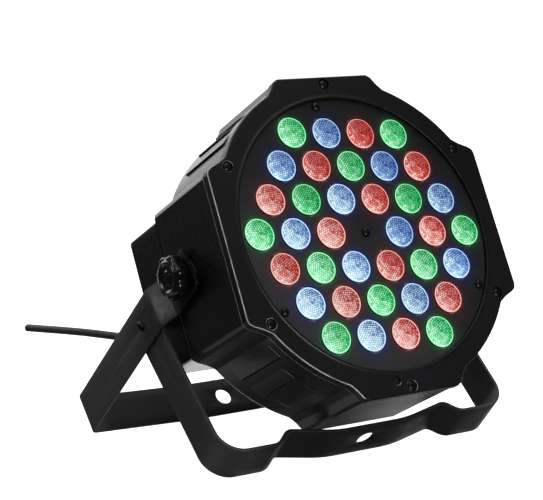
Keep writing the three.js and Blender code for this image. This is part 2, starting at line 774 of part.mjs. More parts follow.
function frontStand() {
  const radius = STAND_CORNER_R - STRIP_T;
  const foot = STAND_FOOT - STRIP_T;
  const high = STAND_HIGH - STRIP_T;
  const halfPath = [[STAND_IN, -STRIP_W / 2 - 1]];
  for (let i = 0; i <= 6; i++) {
    const [x, out] = polar(radius, i * 15);
    halfPath.push([STAND_IN - radius + x, foot - radius + out]);
  }
  halfPath.push([65, foot], [61.5, foot - 1.6], [56.5, high + 1], [53, high]);
  halfPath.push([24, STAND_MID - STRIP_T]);
  const roundEnd = [];
  for (let i = 0; i <= 9; i++) roundEnd.push(polar(STRIP_W / 2, 180 + i * 20));
  return cut(withEnds(bentStrip(halfPath), roundEnd), [
    armHole(PIN_HOLE_R, 10),
    barHole(STAND_MID),
  ]);
}

// stand pin: a screw from outside with a tapered head
function standPivotScrew(sign) {
  const armOut = ARM_IN + STRIP_T;
  const headHeight = 2;
  const headGeometry = new THREE.CylinderGeometry(2.1, 2.9, headHeight, 12);
  headGeometry.rotateZ(-sign * 90 * DEG);
  headGeometry.translate(sign * (armOut + GAP + headHeight / 2), PIN_AT, 0);
  return xCylinder(2, sign * 94.6, sign * (armOut + 0.6), 10, PIN_AT).add(solidOf(headGeometry));
}

// hexagonal nut inside the stand arm
function standPivotNut(sign) {
  return xCylinder(4, sign * 94.2, sign * (STAND_IN - GAP), 6, PIN_AT)
    .subtract(armHole(PIN_HOLE_R, 10, PIN_AT));
}

// degrees below horizontal at which the stand's feet and the yoke bar's lower
// edge rest on one level
function standAngle() {
  const halfWidth = STRIP_W / 2;
  const sin = Math.sin(YOKE_BELOW * DEG);
  const floorDepth = YOKE_CROWN * sin + halfWidth * Math.cos(YOKE_BELOW * DEG);
  const reach = Math.hypot(STAND_FOOT, halfWidth);
  return Math.asin((floorDepth - PIN_AT * sin) / reach) / DEG
    - Math.atan2(halfWidth, STAND_FOOT) / DEG;
}

// ------------------------------------------------------------------ mains cord
// runs back and to the left from the hinge
function powerCord() {
  const curve = new THREE.CatmullRomCurve3([
    [0, 0, 0],
    [-3, 20, -3],
    [-11, 70, -8],
    [-20, 120, -10],
    [-29, 180, -14],
  ].map((point) => new THREE.Vector3(...point)));
  const ring = new THREE.Shape();
  ring.absarc(0, 0, CORD_R, 0, 2 * Math.PI, false);
  return solidOf(new THREE.ExtrudeGeometry(ring, {
    steps: 12, curveSegments: 4, extrudePath: curve, bevelEnabled: false,
  }));
}

// -------------------------------------------------------------------- assembly
function addGroup(parent) {
  const group = new THREE.Group();
  parent.add(group);
  return group;
}

function addMesh(name, solid, material, parent) {
  const surface = new THREE.MeshStandardMaterial(MATERIAL[material]);
  const mesh = new THREE.Mesh(geometryOf(solid), surface);
  mesh.name = name;
  parent.add(mesh);
}

const root = new THREE.Group();
const pivot = addGroup(root);          // origin on the head pivot axis

const head = addGroup(pivot);
head.rotation.x = (90 - HEAD_TILT) * DEG;
const face = addGroup(head);           // the head's own frame
face.position.z = -PIVOT_Z;

const yoke = addGroup(pivot);          // local Y runs out along the arms
yoke.rotation.x = -YOKE_BELOW * DEG;

const stand = addGroup(pivot);         // local Y runs out along the arms
stand.position.set(
  0, PIN_AT * Math.cos(YOKE_BELOW * DEG), -PIN_AT * Math.sin(YOKE_BELOW * DEG));
stand.rotation.x = (180 + standAngle()) * DEG;

const cord = addGroup(pivot);          // origin where the cord leaves its stub
cord.position.set(...GLAND, CORD_HINGE_Z - PIVOT_Z).applyEuler(head.rotation);

addMesh('front_bezel', frontBezel(), 'bezel_black', face);
addMesh('front_plate', frontPlate(), 'plate_black', face);
addMesh('lens_array', lensArray(), 'lens_clear', face);
addMesh('led_board', ledBoard(), 'board_white', face);
addMesh('heat_spreader', heatSpreader(), 'aluminium', face);
addMesh('main_housing', mainHousing(), 'plastic_black', face);
addMesh('rear_cover', rearCover(), 'plastic_black', face);

addScrews('bezel_screw', BEZEL_SCREWS, BEZEL_SCREW);
addScrews('plate_screw', PLATE_SCREWS, PLATE_SCREW);
addMesh('centre_screw', screw(CENTRE, PLATE_SCREW), 'screw_black', face);
addScrews('rear_cover_screw', REAR_SCREWS, REAR_SCREW);
addScrews('fan_screw', FAN_SCREWS, FAN_SCREW);

addMesh('fan_frame', fanFrame(), 'fan_black', face);
addMesh('fan_rotor', fanRotor(), 'fan_black', face);
addMesh('display_window', displayWindow(), 'window_smoke', face);
addMesh('display_module', displayModule(), 'display_red', face);
addMesh('control_board', controlBoard(), 'board_green', face);
for (const [name, x] of Object.entries(BUTTON_X)) {
  addMesh('button_' + name, button(x), 'button_black', face);
}
addMesh('microphone', microphone(), 'steel', face);
addMesh('power_supply_board', powerSupplyBoard(), 'board_green', face);
addMesh('transformer', transformer(), 'core_yellow', face);
addMesh('bulk_capacitor', bulkCapacitor(), 'can_dark', face);
addMesh('dmx_in_connector', dmxIn(), 'connector_black', face);
addMesh('dmx_out_connector', dmxOut(), 'connector_black', face);
addMesh('cable_gland', cableGland(), 'connector_black', face);
addMesh('gland_nut', glandNut(), 'connector_black', face);
addMesh('power_cord_end', cordEnd(), 'cord_black', face);

for (const [side, sign] of SIDES) {
  addMesh('insert_nut_' + side, insertNut(sign), 'brass', face);
  addMesh('friction_washer_' + side, frictionWasher(sign), 'fibre', face);
  addMesh('knob_' + side, knob(sign), 'knob_black', face);
  addMesh('knob_stud_' + side, knobStud(sign), 'steel', face);
}

addMesh('main_yoke', mainYoke(), 'strip_black', yoke);
addMesh('front_stand', frontStand(), 'strip_black', stand);
for (const [side, sign] of SIDES) {
  addMesh('stand_pivot_screw_' + side, standPivotScrew(sign), 'screw_black', yoke);
  addMesh('stand_pivot_nut_' + side, standPivotNut(sign), 'steel', yoke);
}
addMesh('power_cord', powerCord(), 'cord_black', cord);

// origin to the middle of the footprint, on the floor
root.updateMatrixWorld(true);
const { min, max } = new THREE.Box3().setFromObject(root, true);
root.position.set(-(min.x + max.x) / 2, -(min.y + max.y) / 2, -min.z);
root.updateMatrixWorld(true);

export default root;
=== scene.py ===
"""Looks of a flat LED par light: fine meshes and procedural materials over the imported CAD.

Sizes are millimetres in the frame of each group, and meshes are stored in metres.
Head: x runs across, y up the lamp face and z out of the face, with z 0 near the face.
Yoke and stand: x runs across and y from the pivot along the arms to the crossbar.
Materials work in metres in the object's own frame.
"""
import json
import math

import bmesh
import bpy
from mathutils import Matrix, Vector
from mathutils.geometry import delaunay_2d_cdt


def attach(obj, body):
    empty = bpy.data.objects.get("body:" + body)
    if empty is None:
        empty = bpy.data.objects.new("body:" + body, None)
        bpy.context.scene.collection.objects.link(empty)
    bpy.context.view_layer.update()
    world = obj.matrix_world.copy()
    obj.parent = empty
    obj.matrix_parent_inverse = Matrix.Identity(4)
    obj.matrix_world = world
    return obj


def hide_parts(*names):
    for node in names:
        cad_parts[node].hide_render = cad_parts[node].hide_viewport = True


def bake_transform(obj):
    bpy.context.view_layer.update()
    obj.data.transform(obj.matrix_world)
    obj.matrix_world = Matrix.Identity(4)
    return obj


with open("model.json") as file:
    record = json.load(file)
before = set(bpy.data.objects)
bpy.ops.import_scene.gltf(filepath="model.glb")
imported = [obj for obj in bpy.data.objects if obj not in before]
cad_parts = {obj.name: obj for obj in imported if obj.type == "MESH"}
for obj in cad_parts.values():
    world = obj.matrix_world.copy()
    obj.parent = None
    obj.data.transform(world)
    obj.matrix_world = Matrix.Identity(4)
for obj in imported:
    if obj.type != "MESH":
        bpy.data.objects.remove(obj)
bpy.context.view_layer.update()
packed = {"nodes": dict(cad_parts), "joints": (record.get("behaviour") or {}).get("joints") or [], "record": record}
scene = bpy.context.scene
joints = {joint["name"]: joint for joint in packed["joints"]}
DEG = math.pi / 180
MM = 0.001


def polar(radius, angle, cx=0.0, cy=0.0):
    return (cx + radius * math.cos(angle), cy + radius * math.sin(angle))


# ------------------------------------------------------------------ sizes
FACE_R, SIDE_X, TOP_Y = 93.2, 92.0, 94.2
PIVOT_Z = -45.0
SHELL_REAR, BACK_Z = -66.5, -101.0
BACK_IN = BACK_Z + 2.4
BEZEL_SCREWS = [polar(89.8, a * DEG) for a in (30, 90, 150, 210, 270, 330)]
PLATE_SCREWS = [polar(77.2, a * DEG) for a in (96.8, 210.5, 330.2)]
REAR_SCREWS = [(83, 31), (-83, 31), (-83, -31), (83, -31)]
# angle of the lip in degrees, rear z, front z
LOUVERS = ((41.5, -55.0, -10.0), (51.0, -54.5, -18.5), (60.0, -51.0, -21.0))
QUADRANTS = ((1, 1), (-1, 1), (-1, -1), (1, -1))

# places (x, y) on the back panel
FAN = (0.0, 28.0)
FAN_SCREWS = [(FAN[0] + 25 * qx, FAN[1] + 25 * qy) for qx, qy in ((-1, -1), (1, -1), (1, 1), (-1, 1))]
DISPLAY = (0.0, -22.0)
BUTTON_X = {"menu": 24.0, "down": 8.0, "up": -8.0, "enter": -24.0}
BUTTON_Y = -44.0
DMX_IN, DMX_OUT, MIC, GLAND = (52.0, 20.0), (52.0, -16.0), (28.0, -22.0), (-50.0, -20.0)

# bent strips: yoke and stand
STRIP_THICK, STRIP_WIDTH = 2.0, 25.0
YOKE_ARM_X, YOKE_REACH = 99.5, 153.5
STAND_ARM_X, STAND_REACH = 97.2, 98.5
STAND_PIN_Y = 48.8  # stand pivot in the yoke frame
STRIP_HOLE_R, PIN_HOLE_R, BAR_HOLE_R = 3.4, 2.4, 5.5

# lamps: hexagonal rows from the top, one letter a colour, "-" for the centre screw
LED_ROWS = ["GBRG", "BRGBR", "RGBRGB", "GBR-BRG", "RGBRGB", "BRGBR", "GBRG"]
LED_PITCH = 23.0
LED_TURN = -4.36 * DEG
LENS_R = 9.3
LENS_FIT = 0.965  # shrinks the lens across its axis


def led_places():
    """(row, column, colour letter, x, y) of every lamp."""
    c, s = math.cos(LED_TURN), math.sin(LED_TURN)
    places = []
    for row, letters in enumerate(LED_ROWS):
        for column, letter in enumerate(letters):
            if letter == "-":
                continue
            x = (column - (len(letters) - 1) / 2) * LED_PITCH
            y = (3 - row) * LED_PITCH * math.sqrt(3) / 2
            places.append((row + 1, column + 1, letter, x * c - y * s, x * s + y * c))
    return places


LEDS = led_places()


# ------------------------------------------------------------------ frames
def basis(origin, x, y, z):
    matrix = Matrix((x, y, z)).transposed().to_4x4()
    matrix.translation = origin
    return matrix


def shift(x, y, z=0.0):
    return Matrix.Translation(Vector((x * MM, y * MM, z * MM)))


def turn(degrees, axis):
    return Matrix.Rotation(degrees * DEG, 4, axis)


ACROSS = Vector((1, 0, 0))
PIVOT = Vector(joints["head_tilt"]["pos_m"])
face_out = Vector(joints["fan_spin"]["axis"]).normalized()
HEAD = basis(PIVOT - PIVOT_Z * MM * face_out, ACROSS, face_out.cross(ACROSS), face_out)

YOKE_TILT = 40 * DEG
tilt_c, tilt_s = math.cos(YOKE_TILT), math.sin(YOKE_TILT)
YOKE = basis(PIVOT, ACROSS, Vector((0, tilt_c, -tilt_s)), Vector((0, tilt_s, tilt_c)))

# the stand folds down until its lower edge is as low as the yoke's
half_width, stand_outer = STRIP_WIDTH / 2, STAND_REACH + STRIP_THICK
floor_drop = (YOKE_REACH + STRIP_THICK) * tilt_s + half_width * tilt_c
fold = math.asin((floor_drop - STAND_PIN_Y * tilt_s) / math.hypot(stand_outer, half_width))
fold -= math.atan2(half_width, stand_outer)
stand_y = Vector((0, -math.cos(fold), -math.sin(fold)))
STAND = basis(Vector(joints["stand_fold"]["pos_m"]), ACROSS, stand_y, ACROSS.cross(stand_y))


# ------------------------------------------------------------ shader helpers
def set_input(socket, value):
    if isinstance(value, Wire):
        socket.id_data.links.new(value.socket, socket)
        return
    if isinstance(value, tuple) and len(value) == 3 and socket.type == "RGBA":
        value = (*value, 1.0)
    socket.default_value = value


def add_node(tree, kind, inputs, output=0, **settings):
    """Adds a node and returns one of its outputs as a Wire."""
    node = tree.nodes.new(kind)
    for key, value in settings.items():
        setattr(node, key, value)
    for key, value in inputs.items():
        set_input(node.inputs[key], value)
    return Wire(node.outputs[output])


class Wire:
    """A node output; arithmetic on it adds Math nodes."""

    def __init__(self, socket):
        self.socket = socket

    def math(self, operation, *operands):
        operands = dict(enumerate(operands))
        return add_node(self.socket.id_data, "ShaderNodeMath", operands, operation=operation)

    def __add__(self, other):
        return self.math("ADD", self, other)

    def __radd__(self, other):
        return self.math("ADD", other, self)

    def __sub__(self, other):
        return self.math("SUBTRACT", self, other)

    def __rsub__(self, other):
        return self.math("SUBTRACT", other, self)

    def __mul__(self, other):
        return self.math("MULTIPLY", self, other)

    def __truediv__(self, other):
        return self.math("DIVIDE", self, other)

    def absolute(self):
        return self.math("ABSOLUTE", self)

    def largest(self, other):
        return self.math("MAXIMUM", self, other)

    def root(self):
        return self.math("SQRT", self)

    def clamp(self):
        self.socket.node.use_clamp = True
        return self

    def ease(self, low, high, to=(0.0, 1.0)):
        """Smooth step: low and below give to[0], high and above give to[1]."""
        return add_node(self.socket.id_data, "ShaderNodeMapRange",
                        {0: self, 1: low, 2: high, 3: to[0], 4: to[1]},
                        interpolation_type="SMOOTHSTEP")


FALL = (1.0, 0.0)


class Shader:
    """Node tree of a material or world; place is its texture coordinate."""

    def __init__(self, owner, kind="Material", space="Object"):
        owner.use_nodes = True
        self.owner, self.tree = owner, owner.node_tree
        self.tree.nodes.clear()
        self.surface = self.tree.nodes.new("ShaderNodeOutput" + kind).inputs["Surface"]
        self.place = self.node("ShaderNodeTexCoord", {}, space)

    def node(self, kind, inputs, output=0, **settings):
        return add_node(self.tree, kind, inputs, output, **settings)

    def axes(self):
        split = self.node("ShaderNodeSeparateXYZ", {"Vector": self.place})
        return [Wire(socket) for socket in split.socket.node.outputs]

    def attribute(self, name, output="Fac"):
        return self.node("ShaderNodeAttribute", {}, output,
                         attribute_name=name, attribute_type="GEOMETRY")

    def noise(self, scale, detail=3.0, rough=0.55, vector=None):
        return self.node("ShaderNodeTexNoise", {"Scale": scale, "Detail": detail,
                                                "Roughness": rough, "Vector": vector or self.place})

    def mix(self, factor, a, b):
        return self.node("ShaderNodeMix", {0: factor, 6: a, 7: b}, 2,
                         data_type="RGBA", blend_type="MIX")

    def ramp(self, factor, stops):
        """Eased grey ramp through (position, value) stops."""
        wire = self.node("ShaderNodeValToRGB", {"Fac": factor})
        ramp = wire.socket.node.color_ramp
        ramp.interpolation = "EASE"
        while len(ramp.elements) < len(stops):
            ramp.elements.new(0.5)
        for element, (position, value) in zip(ramp.elements, stops):
            element.position = position
            element.color = (value, value, value, 1)
        return wire

    def bump(self, strength, distance, height):
        return self.node("ShaderNodeBump",
                         {"Strength": strength, "Distance": distance, "Height": height})

    def principled(self, color, roughness, **inputs):
        """Extra inputs are the socket names with underscores for spaces."""
        named = {key.replace("_", " "): value for key, value in inputs.items()}
        return self.node("ShaderNodeBsdfPrincipled",
                         {"Base Color": color, "Roughness": roughness, **named})

    def see_through(self, solid, share, clear=(1.0, 1.0, 1.0)):
        glass = self.node("ShaderNodeBsdfTransparent", {"Color": clear})
        return self.node("ShaderNodeMixShader", {"Fac": share, 1: glass, 2: solid})

    def finish(self, shader):
        set_input(self.surface, shader)
        return self.owner


def material(name):
    return Shader(bpy.data.materials.new(name))


def scaled(color, gain):
    return tuple(value * gain for value in color)


# --------------------------------------------------------------- materials
def plastic(name, color, rough=0.42, grain=1600, bump=0.12, depth=3e-5, vary=0.18, metal=0.0,
            wear=0.0, wear_color=(0.16, 0.16, 0.165), coat=0.0, rough_vary=0.08, edge=0.0006,
            specks=0.35, paint_light=None, sheen=None):
    """Moulded or coated surface: cloudy colour, fine specks, grain and worn edges, with optional painted light and
    shade.
    """
    N = material(name)
    big, mid, fine = N.noise(22, 4), N.noise(170, 4), N.noise(grain, 2.5)
    col = N.mix(big.ease(0.3, 0.7), scaled(color, 1 - vary), scaled(color, 1 + vary))
    col = N.mix(fine.ease(0.56, 0.8, to=(0.0, specks)), col, tuple(v * 1.6 + 0.002 for v in color))
    # an optional function paints light and shade into the colour
    if paint_light:
        col = paint_light(N, col)
    grit = min(0.03, 0.375 * rough_vary)
    roughness = mid.ease(0.25, 0.75, to=(rough - rough_vary, rough + rough_vary))
    roughness = roughness + fine.ease(0.3, 0.7, to=(-grit, grit))
    if wear > 0:
        # a bevelled normal that leaves the true one marks an edge; noise breaks it up
        rounded = N.node("ShaderNodeBevel", {"Radius": edge}, samples=4)
        normal = N.node("ShaderNodeNewGeometry", {}, "Normal")
        facing = N.node("ShaderNodeVectorMath", {0: rounded, 1: normal}, "Value",
                        operation="DOT_PRODUCT")
        patches = N.noise(260, 5).ease(0.42, 0.68, to=(0.25, 1.0))
        worn = facing.ease(0.90, 0.985, to=FALL) * patches * wear
        col = N.mix(worn, col, wear_color)
        roughness = roughness - worn * 0.12
    return N.finish(N.principled(
        col, roughness, Metallic=metal, Normal=N.bump(bump, depth, fine + mid * 0.35),
        Specular_IOR_Level=sheen(N) if sheen else 0.5, Coat_Weight=coat, Coat_Roughness=0.08))


def yoke_painted_light(N, col):
    """Painted light and shade: the knobs' shade painted deep black near them, painted shade on the crossbar and
    painted light on the lower arms.
    """
    x, y, _ = N.axes()
    x = x.absolute()
    # painted shade cast by the knobs, deep black on the tabs
    col = N.mix(y.ease(0.010, 0.020, to=(0.80, 0.0)), col, (0.0030, 0.0030, 0.0034))
    # painted shade on the crossbar
    bar = y.ease(0.132, 0.144) * x.ease(0.080, 0.094, to=FALL)
    col = N.mix(bar * 0.45, col, (0.0060, 0.0060, 0.0068))
    # painted light on the side-lit lower arms
    lit_low_arm = y.ease(0.034, 0.085) * x.ease(0.086, 0.097)
    return N.mix(lit_low_arm * 0.85, col, (0.052, 0.052, 0.053))


def yoke_knob_shade_specular(N):
    """Painted shade of the knobs: little specular near them."""
    return N.axes()[1].ease(0.010, 0.020, to=(0.10, 0.5))


def stand_painted_light(N, col):
    """Painted light and shade: painted shade on the mid crossbar, lighter towards the side-lit arms and a painted
    highlight on the bends.
    """
    x, y, _ = N.axes()
    x = x.absolute()
    # painted shade on the mid crossbar
    col = N.mix(x.ease(0.025, 0.080, to=(0.55, 0.0)), col, (0.0050, 0.0050, 0.0060))
    # painted light towards the arms
    col = N.mix(x.ease(0.070, 0.098, to=(0.0, 0.6)), col, (0.036, 0.036, 0.038))
    # painted highlight on the bends
    lit_bend = y.ease(0.074, 0.094) * x.ease(0.066, 0.084)
    return N.mix(lit_bend * 0.6, col, (0.062, 0.062, 0.065))


def brushed(name, color, rough=0.32, scale=(900, 900, 40)):
    """Metal with streaks along the axis that has the smallest scale."""
    N = material(name)
    stretched = N.node("ShaderNodeMapping", {"Vector": N.place, "Scale": scale})
    streak = N.noise(1.0, 4, 0.6, stretched)
    col = N.mix(streak.ease(0.3, 0.7), scaled(color, 0.82), color)
    col = N.mix(N.noise(60, 3).ease(0.35, 0.75, to=(0.0, 0.4)), col, scaled(color, 0.7))
    roughness = streak.ease(0.2, 0.8, to=(rough - 0.1, rough + 0.12))
    return N.finish(N.principled(col, roughness, Metallic=1.0, Normal=N.bump(0.2, 2e-5, streak)))


def board(name, color, trace, scale=420):
    """Circuit board with patches of raised traces along cell borders."""
    N = material(name)
    border = N.node("ShaderNodeTexVoronoi", {"Scale": scale, "Randomness": 0.35, "Vector": N.place},
                    "Distance", feature="DISTANCE_TO_EDGE")
    traces = border.ease(0.03, 0.06, to=FALL) * N.noise(55, 2).ease(0.45, 0.55)
    return N.finish(N.principled(
        N.mix(traces, color, trace), N.noise(200).ease(0.3, 0.7, to=(0.32, 0.5)),
        Normal=N.bump(0.3, 3e-5, traces)))


# per colour letter: name, (saturated, mid, pale), sparkle, light spilled on the plate
LAMPS = {
    "G": ("green", ((0.008, 0.30, 0.055), (0.035, 0.62, 0.17), (0.36, 0.93, 0.52)),
          (0.72, 1.0, 0.86), (0.0, 0.17, 0.025)),
    "B": ("blue", ((0.035, 0.060, 0.46), (0.15, 0.33, 0.74), (0.58, 0.83, 0.95)),
          (0.80, 0.95, 1.0), (0.012, 0.02, 0.30)),
    "R": ("red", ((0.44, 0.012, 0.010), (0.70, 0.065, 0.054), (0.90, 0.50, 0.45)),
          (1.0, 0.80, 0.76), (0.20, 0.006, 0.006)),
}
# paleness over the lens radius: (radius, added paleness)
LENS_RINGS = [(0.0, 0.0), (0.12, 0.02), (0.20, 0.14), (0.30, 0.05),
              (0.55, 0.10), (0.90, 0.06), (0.950, 0.24), (0.968, 0.70)]


def lens_material(letter):
    """Lit lens; the mesh carries bead height, a number per bead and a painted sheen with a random tone per lens."""
    color_name, (saturated, mid, pale), sparkle, _ = LAMPS[letter]
    N = material("lens_lit_" + color_name)
    x, y, z = N.axes()
    r = (x * x + y * y).root() / (LENS_R * MM * LENS_FIT)
    lens_number = N.node("ShaderNodeObjectInfo", {}, "Random")
    # painted sheen: light from the lower left lifts that side of the disc
    cloud = N.noise(330, 3, 0.6)
    side = (x * -0.74 + y * -0.67) / (LENS_R * MM)
    side = side + (cloud - 0.5) * 1.5
    side = side + (lens_number - 0.5) * 0.45
    bead, cell = N.attribute("bead"), N.attribute("cell")
    inside = r.ease(0.925, 0.95, to=FALL)
    # paleness: painted sheen on the lit side, painted sheen and tone per lens, radius, bead tops, and each bead's
    # own share
    f = side.ease(-0.6, 0.9, to=(0.15, 0.58)) + N.attribute("sheen_tone") * 0.42
    f = f + N.ramp(r, LENS_RINGS)
    f = f + bead.ease(0.85, 1.0, to=(0.0, 0.12))
    f = (f + (cell - 0.48) * 0.42 * inside).clamp()
    col = N.mix(f.ease(0.0, 0.5), saturated, mid)
    col = N.mix(f.ease(0.45, 1.0), col, pale)
    # painted glints on single beads, mostly at the lower left
    spark = cell.ease(0.45, 0.95) * side.ease(0.0, 1.0) * bead.ease(0.35, 0.8) * inside
    col = N.mix(spark * 0.80, col, sparkle)
    # dark valleys between the beads
    dark = bead.ease(0.60, 0.95, to=FALL) * inside
    dark = dark * N.noise(900, 2).ease(0.36, 0.60, to=(0.62, 1.0))
    dark = dark * side.ease(-0.7, 0.8, to=(1.0, 0.50))
    # a few beads stay unlit
    unlit = cell.ease(0.06, 0.22, to=(0.7, 0.0)) * inside
    dark = dark.largest(unlit * side.ease(-1.0, 0.9, to=(0.9, 0.35)))
    # the emitter itself is a small deep spot in the middle
    dark = dark.largest(r.ease(0.09, 0.19, to=(0.50, 0.0)))
    col = N.mix(dark, col, scaled(saturated, 0.06))
    # no light leaves the flank of the lens
    col = N.mix(z.ease(-0.00045, -0.00005, to=FALL), col, scaled(saturated, 0.03))
    return N.finish(N.principled(
        N.mix(0.75, col, (0, 0, 0)), cloud.ease(0.3, 0.7, to=(0.14, 0.26)),
        Specular_IOR_Level=0.5, Coat_Weight=0.25, Coat_Roughness=0.10,
        Emission_Color=col, Emission_Strength=0.97 + lens_number * 0.14))


def bezel_material():
    """Satin black with painted shade towards the top and the left and a painted highlight on the outer edge at the
    lower left.
    """
    N = material("bezel_satin_black")
    big, mid, fine = N.noise(22, 4), N.noise(170, 4), N.noise(2200, 2.5)
    col = N.mix(big.ease(0.3, 0.7), (0.0056, 0.0054, 0.0068), (0.0074, 0.0071, 0.0086))
    col = N.mix(fine.ease(0.56, 0.8, to=(0.0, 0.35)), col, (0.010, 0.010, 0.011))
    roughness = mid.ease(0.25, 0.75, to=(0.35, 0.41)) + fine.ease(0.3, 0.7, to=(-0.03, 0.03))
    x, y, z = N.axes()
    outer = (x * x + y * y).root().ease(0.0862, 0.0880)
    # painted shade: darker towards the top and the left
    shade_side = y * 0.8 + x * -0.35
    col = N.mix(shade_side.ease(-0.062, 0.022, to=(0.0, 0.66)), col, (0.0006, 0.0006, 0.0007))
    # the painted edge highlight sits on the front and rear corner roundings
    front = z.ease(0.00092, 0.00108) * z.ease(0.00136, 0.00143, to=FALL)
    rear = z.ease(-0.0039, -0.0035, to=FALL)
    lit = (x * -0.80 + y * -0.60).ease(0.012, 0.050)
    edge_highlight = (front + rear * 0.9).clamp() * outer * lit
    edge_highlight = edge_highlight * y.ease(-0.0929, -0.0924)
    edge_highlight = edge_highlight * N.noise(90, 4).ease(0.3, 0.65, to=(0.45, 1.0))
    col = N.mix(edge_highlight * 0.95, col, (0.60, 0.60, 0.61))
    return N.finish(N.principled(
        col, roughness - edge_highlight * 0.12, Specular_IOR_Level=0.27,
        Normal=N.bump(0.10, 3e-5, fine + mid * 0.35)))


def plate_material():
    """Powder black with painted shade to the top right, painted light at the lower left, and lamp light painted as
    emission from the glow attribute, weaker towards the top.
    """
    N = material("front_plate_powder_black")
    big, fine = N.noise(16, 4), N.noise(2600, 2)
    col = N.mix(big.ease(0.3, 0.7), (0.0105, 0.0102, 0.0118), (0.0150, 0.0146, 0.0165))
    col = N.mix(fine.ease(0.6, 0.85, to=(0.0, 0.4)), col, (0.035, 0.035, 0.038))
    x, y, _ = N.axes()
    # painted shade towards the top and the right
    shade = (y.ease(-0.02, 0.078, to=(0.0, 0.80)) + x.ease(0.01, 0.075, to=(0.0, 0.30))).clamp()
    col = N.mix(shade, col, (0.0010, 0.0010, 0.0012))
    # painted light at the lower left
    lit_low_left = x * -0.6 + y * -0.8
    col = N.mix(lit_low_left.ease(0.005, 0.070, to=(0.0, 0.55)), col, (0.030, 0.030, 0.033))
    # the lamps' spill is painted as emission, weaker towards the top
    return N.finish(N.principled(
        col, N.noise(120).ease(0.3, 0.7, to=(0.46, 0.58)), Specular_IOR_Level=0.28,
        Normal=N.bump(0.18, 3e-5, fine), Emission_Color=N.attribute("glow", "Color"),
        Emission_Strength=y.ease(-0.03, 0.075, to=(0.42, 0.27))))


def window_material():
    N = material("smoked_window")
    col = N.mix(N.noise(40, 2), (0.10, 0.012, 0.014), (0.16, 0.02, 0.02))
    pane = N.principled(col, N.noise(300).ease(0.3, 0.7, to=(0.04, 0.1)))
    return N.finish(N.see_through(pane, share=0.45, clear=(0.42, 0.10, 0.10)))


def digit_material():
    N = material("lit_segments")
    glow = N.mix(N.noise(900, 2), (0.9, 0.03, 0.02), (1.0, 0.10, 0.05))
    return N.finish(N.principled((0.3, 0.02, 0.02), 0.4, Emission_Color=glow,
                                 Emission_Strength=2.2))


def acrylic(name):
    N = material(name)
    col = N.mix(N.noise(90), (0.55, 0.58, 0.6), (0.7, 0.73, 0.76))
    web = N.principled(col, N.noise(400).ease(0.3, 0.7, to=(0.08, 0.2)))
    return N.finish(N.see_through(web, share=0.4))


# powder coat shared by the yoke and the stand
COAT = dict(color=(0.0165, 0.0165, 0.0182), rough=0.47, grain=1050, bump=0.22, depth=5e-5,
            vary=0.16, wear=0.35, wear_color=(0.12, 0.12, 0.125))
MAT = {
    "bezel_black": bezel_material(),
    "housing_black": plastic("housing_satin_black", (0.0066, 0.0064, 0.0076), rough=0.27,
                             grain=1900, bump=0.012, depth=2e-5, vary=0.08, rough_vary=0.008,
                             wear=0.22, specks=0.08),
    "plate_black": plate_material(),
    "strip_black": plastic("powder_coat_black", paint_light=yoke_painted_light, sheen=yoke_knob_shade_specular, **COAT),
    "knob_black": plastic("knob_gloss_black", (0.0028, 0.0028, 0.0033), rough=0.17, grain=2600,
                          bump=0.03, depth=2e-5, vary=0.1, coat=0.1, rough_vary=0.03, wear=0.05),
    "screw_black": plastic("screw_black_oxide", (0.020, 0.020, 0.023), rough=0.24, grain=3000,
                           bump=0.10, depth=2e-5, vary=0.2, metal=0.75, wear=0.5,
                           wear_color=(0.35, 0.35, 0.36), edge=0.0003),
    "steel": brushed("zinc_steel", (0.56, 0.57, 0.58)),
    "brass": brushed("turned_brass", (0.62, 0.46, 0.19), rough=0.3),
    "aluminium": brushed("mill_aluminium", (0.72, 0.73, 0.74), rough=0.38, scale=(500, 30, 500)),
    "fibre": plastic("fibre_washer", (0.022, 0.020, 0.018), rough=0.85, grain=900, bump=0.6,
                     depth=9e-5, vary=0.3),
    "fan_black": plastic("fan_moulding", (0.012, 0.012, 0.013), rough=0.45, grain=1500,
                         bump=0.15, vary=0.2, wear=0.3),
    "connector_black": plastic("connector_moulding", (0.0085, 0.0085, 0.009), rough=0.33,
                               grain=1800, vary=0.2, wear=0.35),
    "cord_black": plastic("cord_rubber", (0.014, 0.014, 0.015), rough=0.55, grain=1300,
                          bump=0.35, depth=5e-5, vary=0.25),
    "button_black": plastic("button_cap", (0.012, 0.012, 0.013), rough=0.3, grain=2200,
                            bump=0.08, depth=2e-5, vary=0.15, coat=0.2, wear=0.3, edge=0.0004),
    "board_white": board("led_board_white", (0.74, 0.74, 0.71), trace=(0.55, 0.53, 0.40)),
    "board_green": board("circuit_green", (0.018, 0.105, 0.045), trace=(0.035, 0.18, 0.07),
                         scale=700),
    "core_yellow": plastic("winding_tape", (0.55, 0.40, 0.06), rough=0.45, grain=700, bump=0.3,
                           depth=6e-5, vary=0.25),
    "can_dark": plastic("capacitor_sleeve", (0.018, 0.028, 0.07), rough=0.22, grain=1200,
                        bump=0.08, vary=0.2, coat=0.4),
    "display_red": plastic("display_block", (0.030, 0.006, 0.006), rough=0.3, grain=1500,
                           bump=0.08, vary=0.2),
    "window_smoke": window_material(),
    "digits": digit_material(),
    "lens_clear": acrylic("acrylic_web"),
    "contact": brushed("contact_plating", (0.72, 0.68, 0.55), rough=0.2),
}
LENS = {letter: lens_material(letter) for letter in "GBR"}


# ------------------------------------------------------------ mesh helpers
def place(name, mesh, base):
    obj = bpy.data.objects.new(name, mesh)
    scene.collection.objects.link(obj)
    obj.matrix_world = base
    return obj


def edit(mesh, *steps):
    """Runs bmesh steps on a mesh."""
    bm = bmesh.new()
    bm.from_mesh(mesh)
    for step in steps:
        step(bm)
    bm.to_mesh(mesh)
    bm.free()


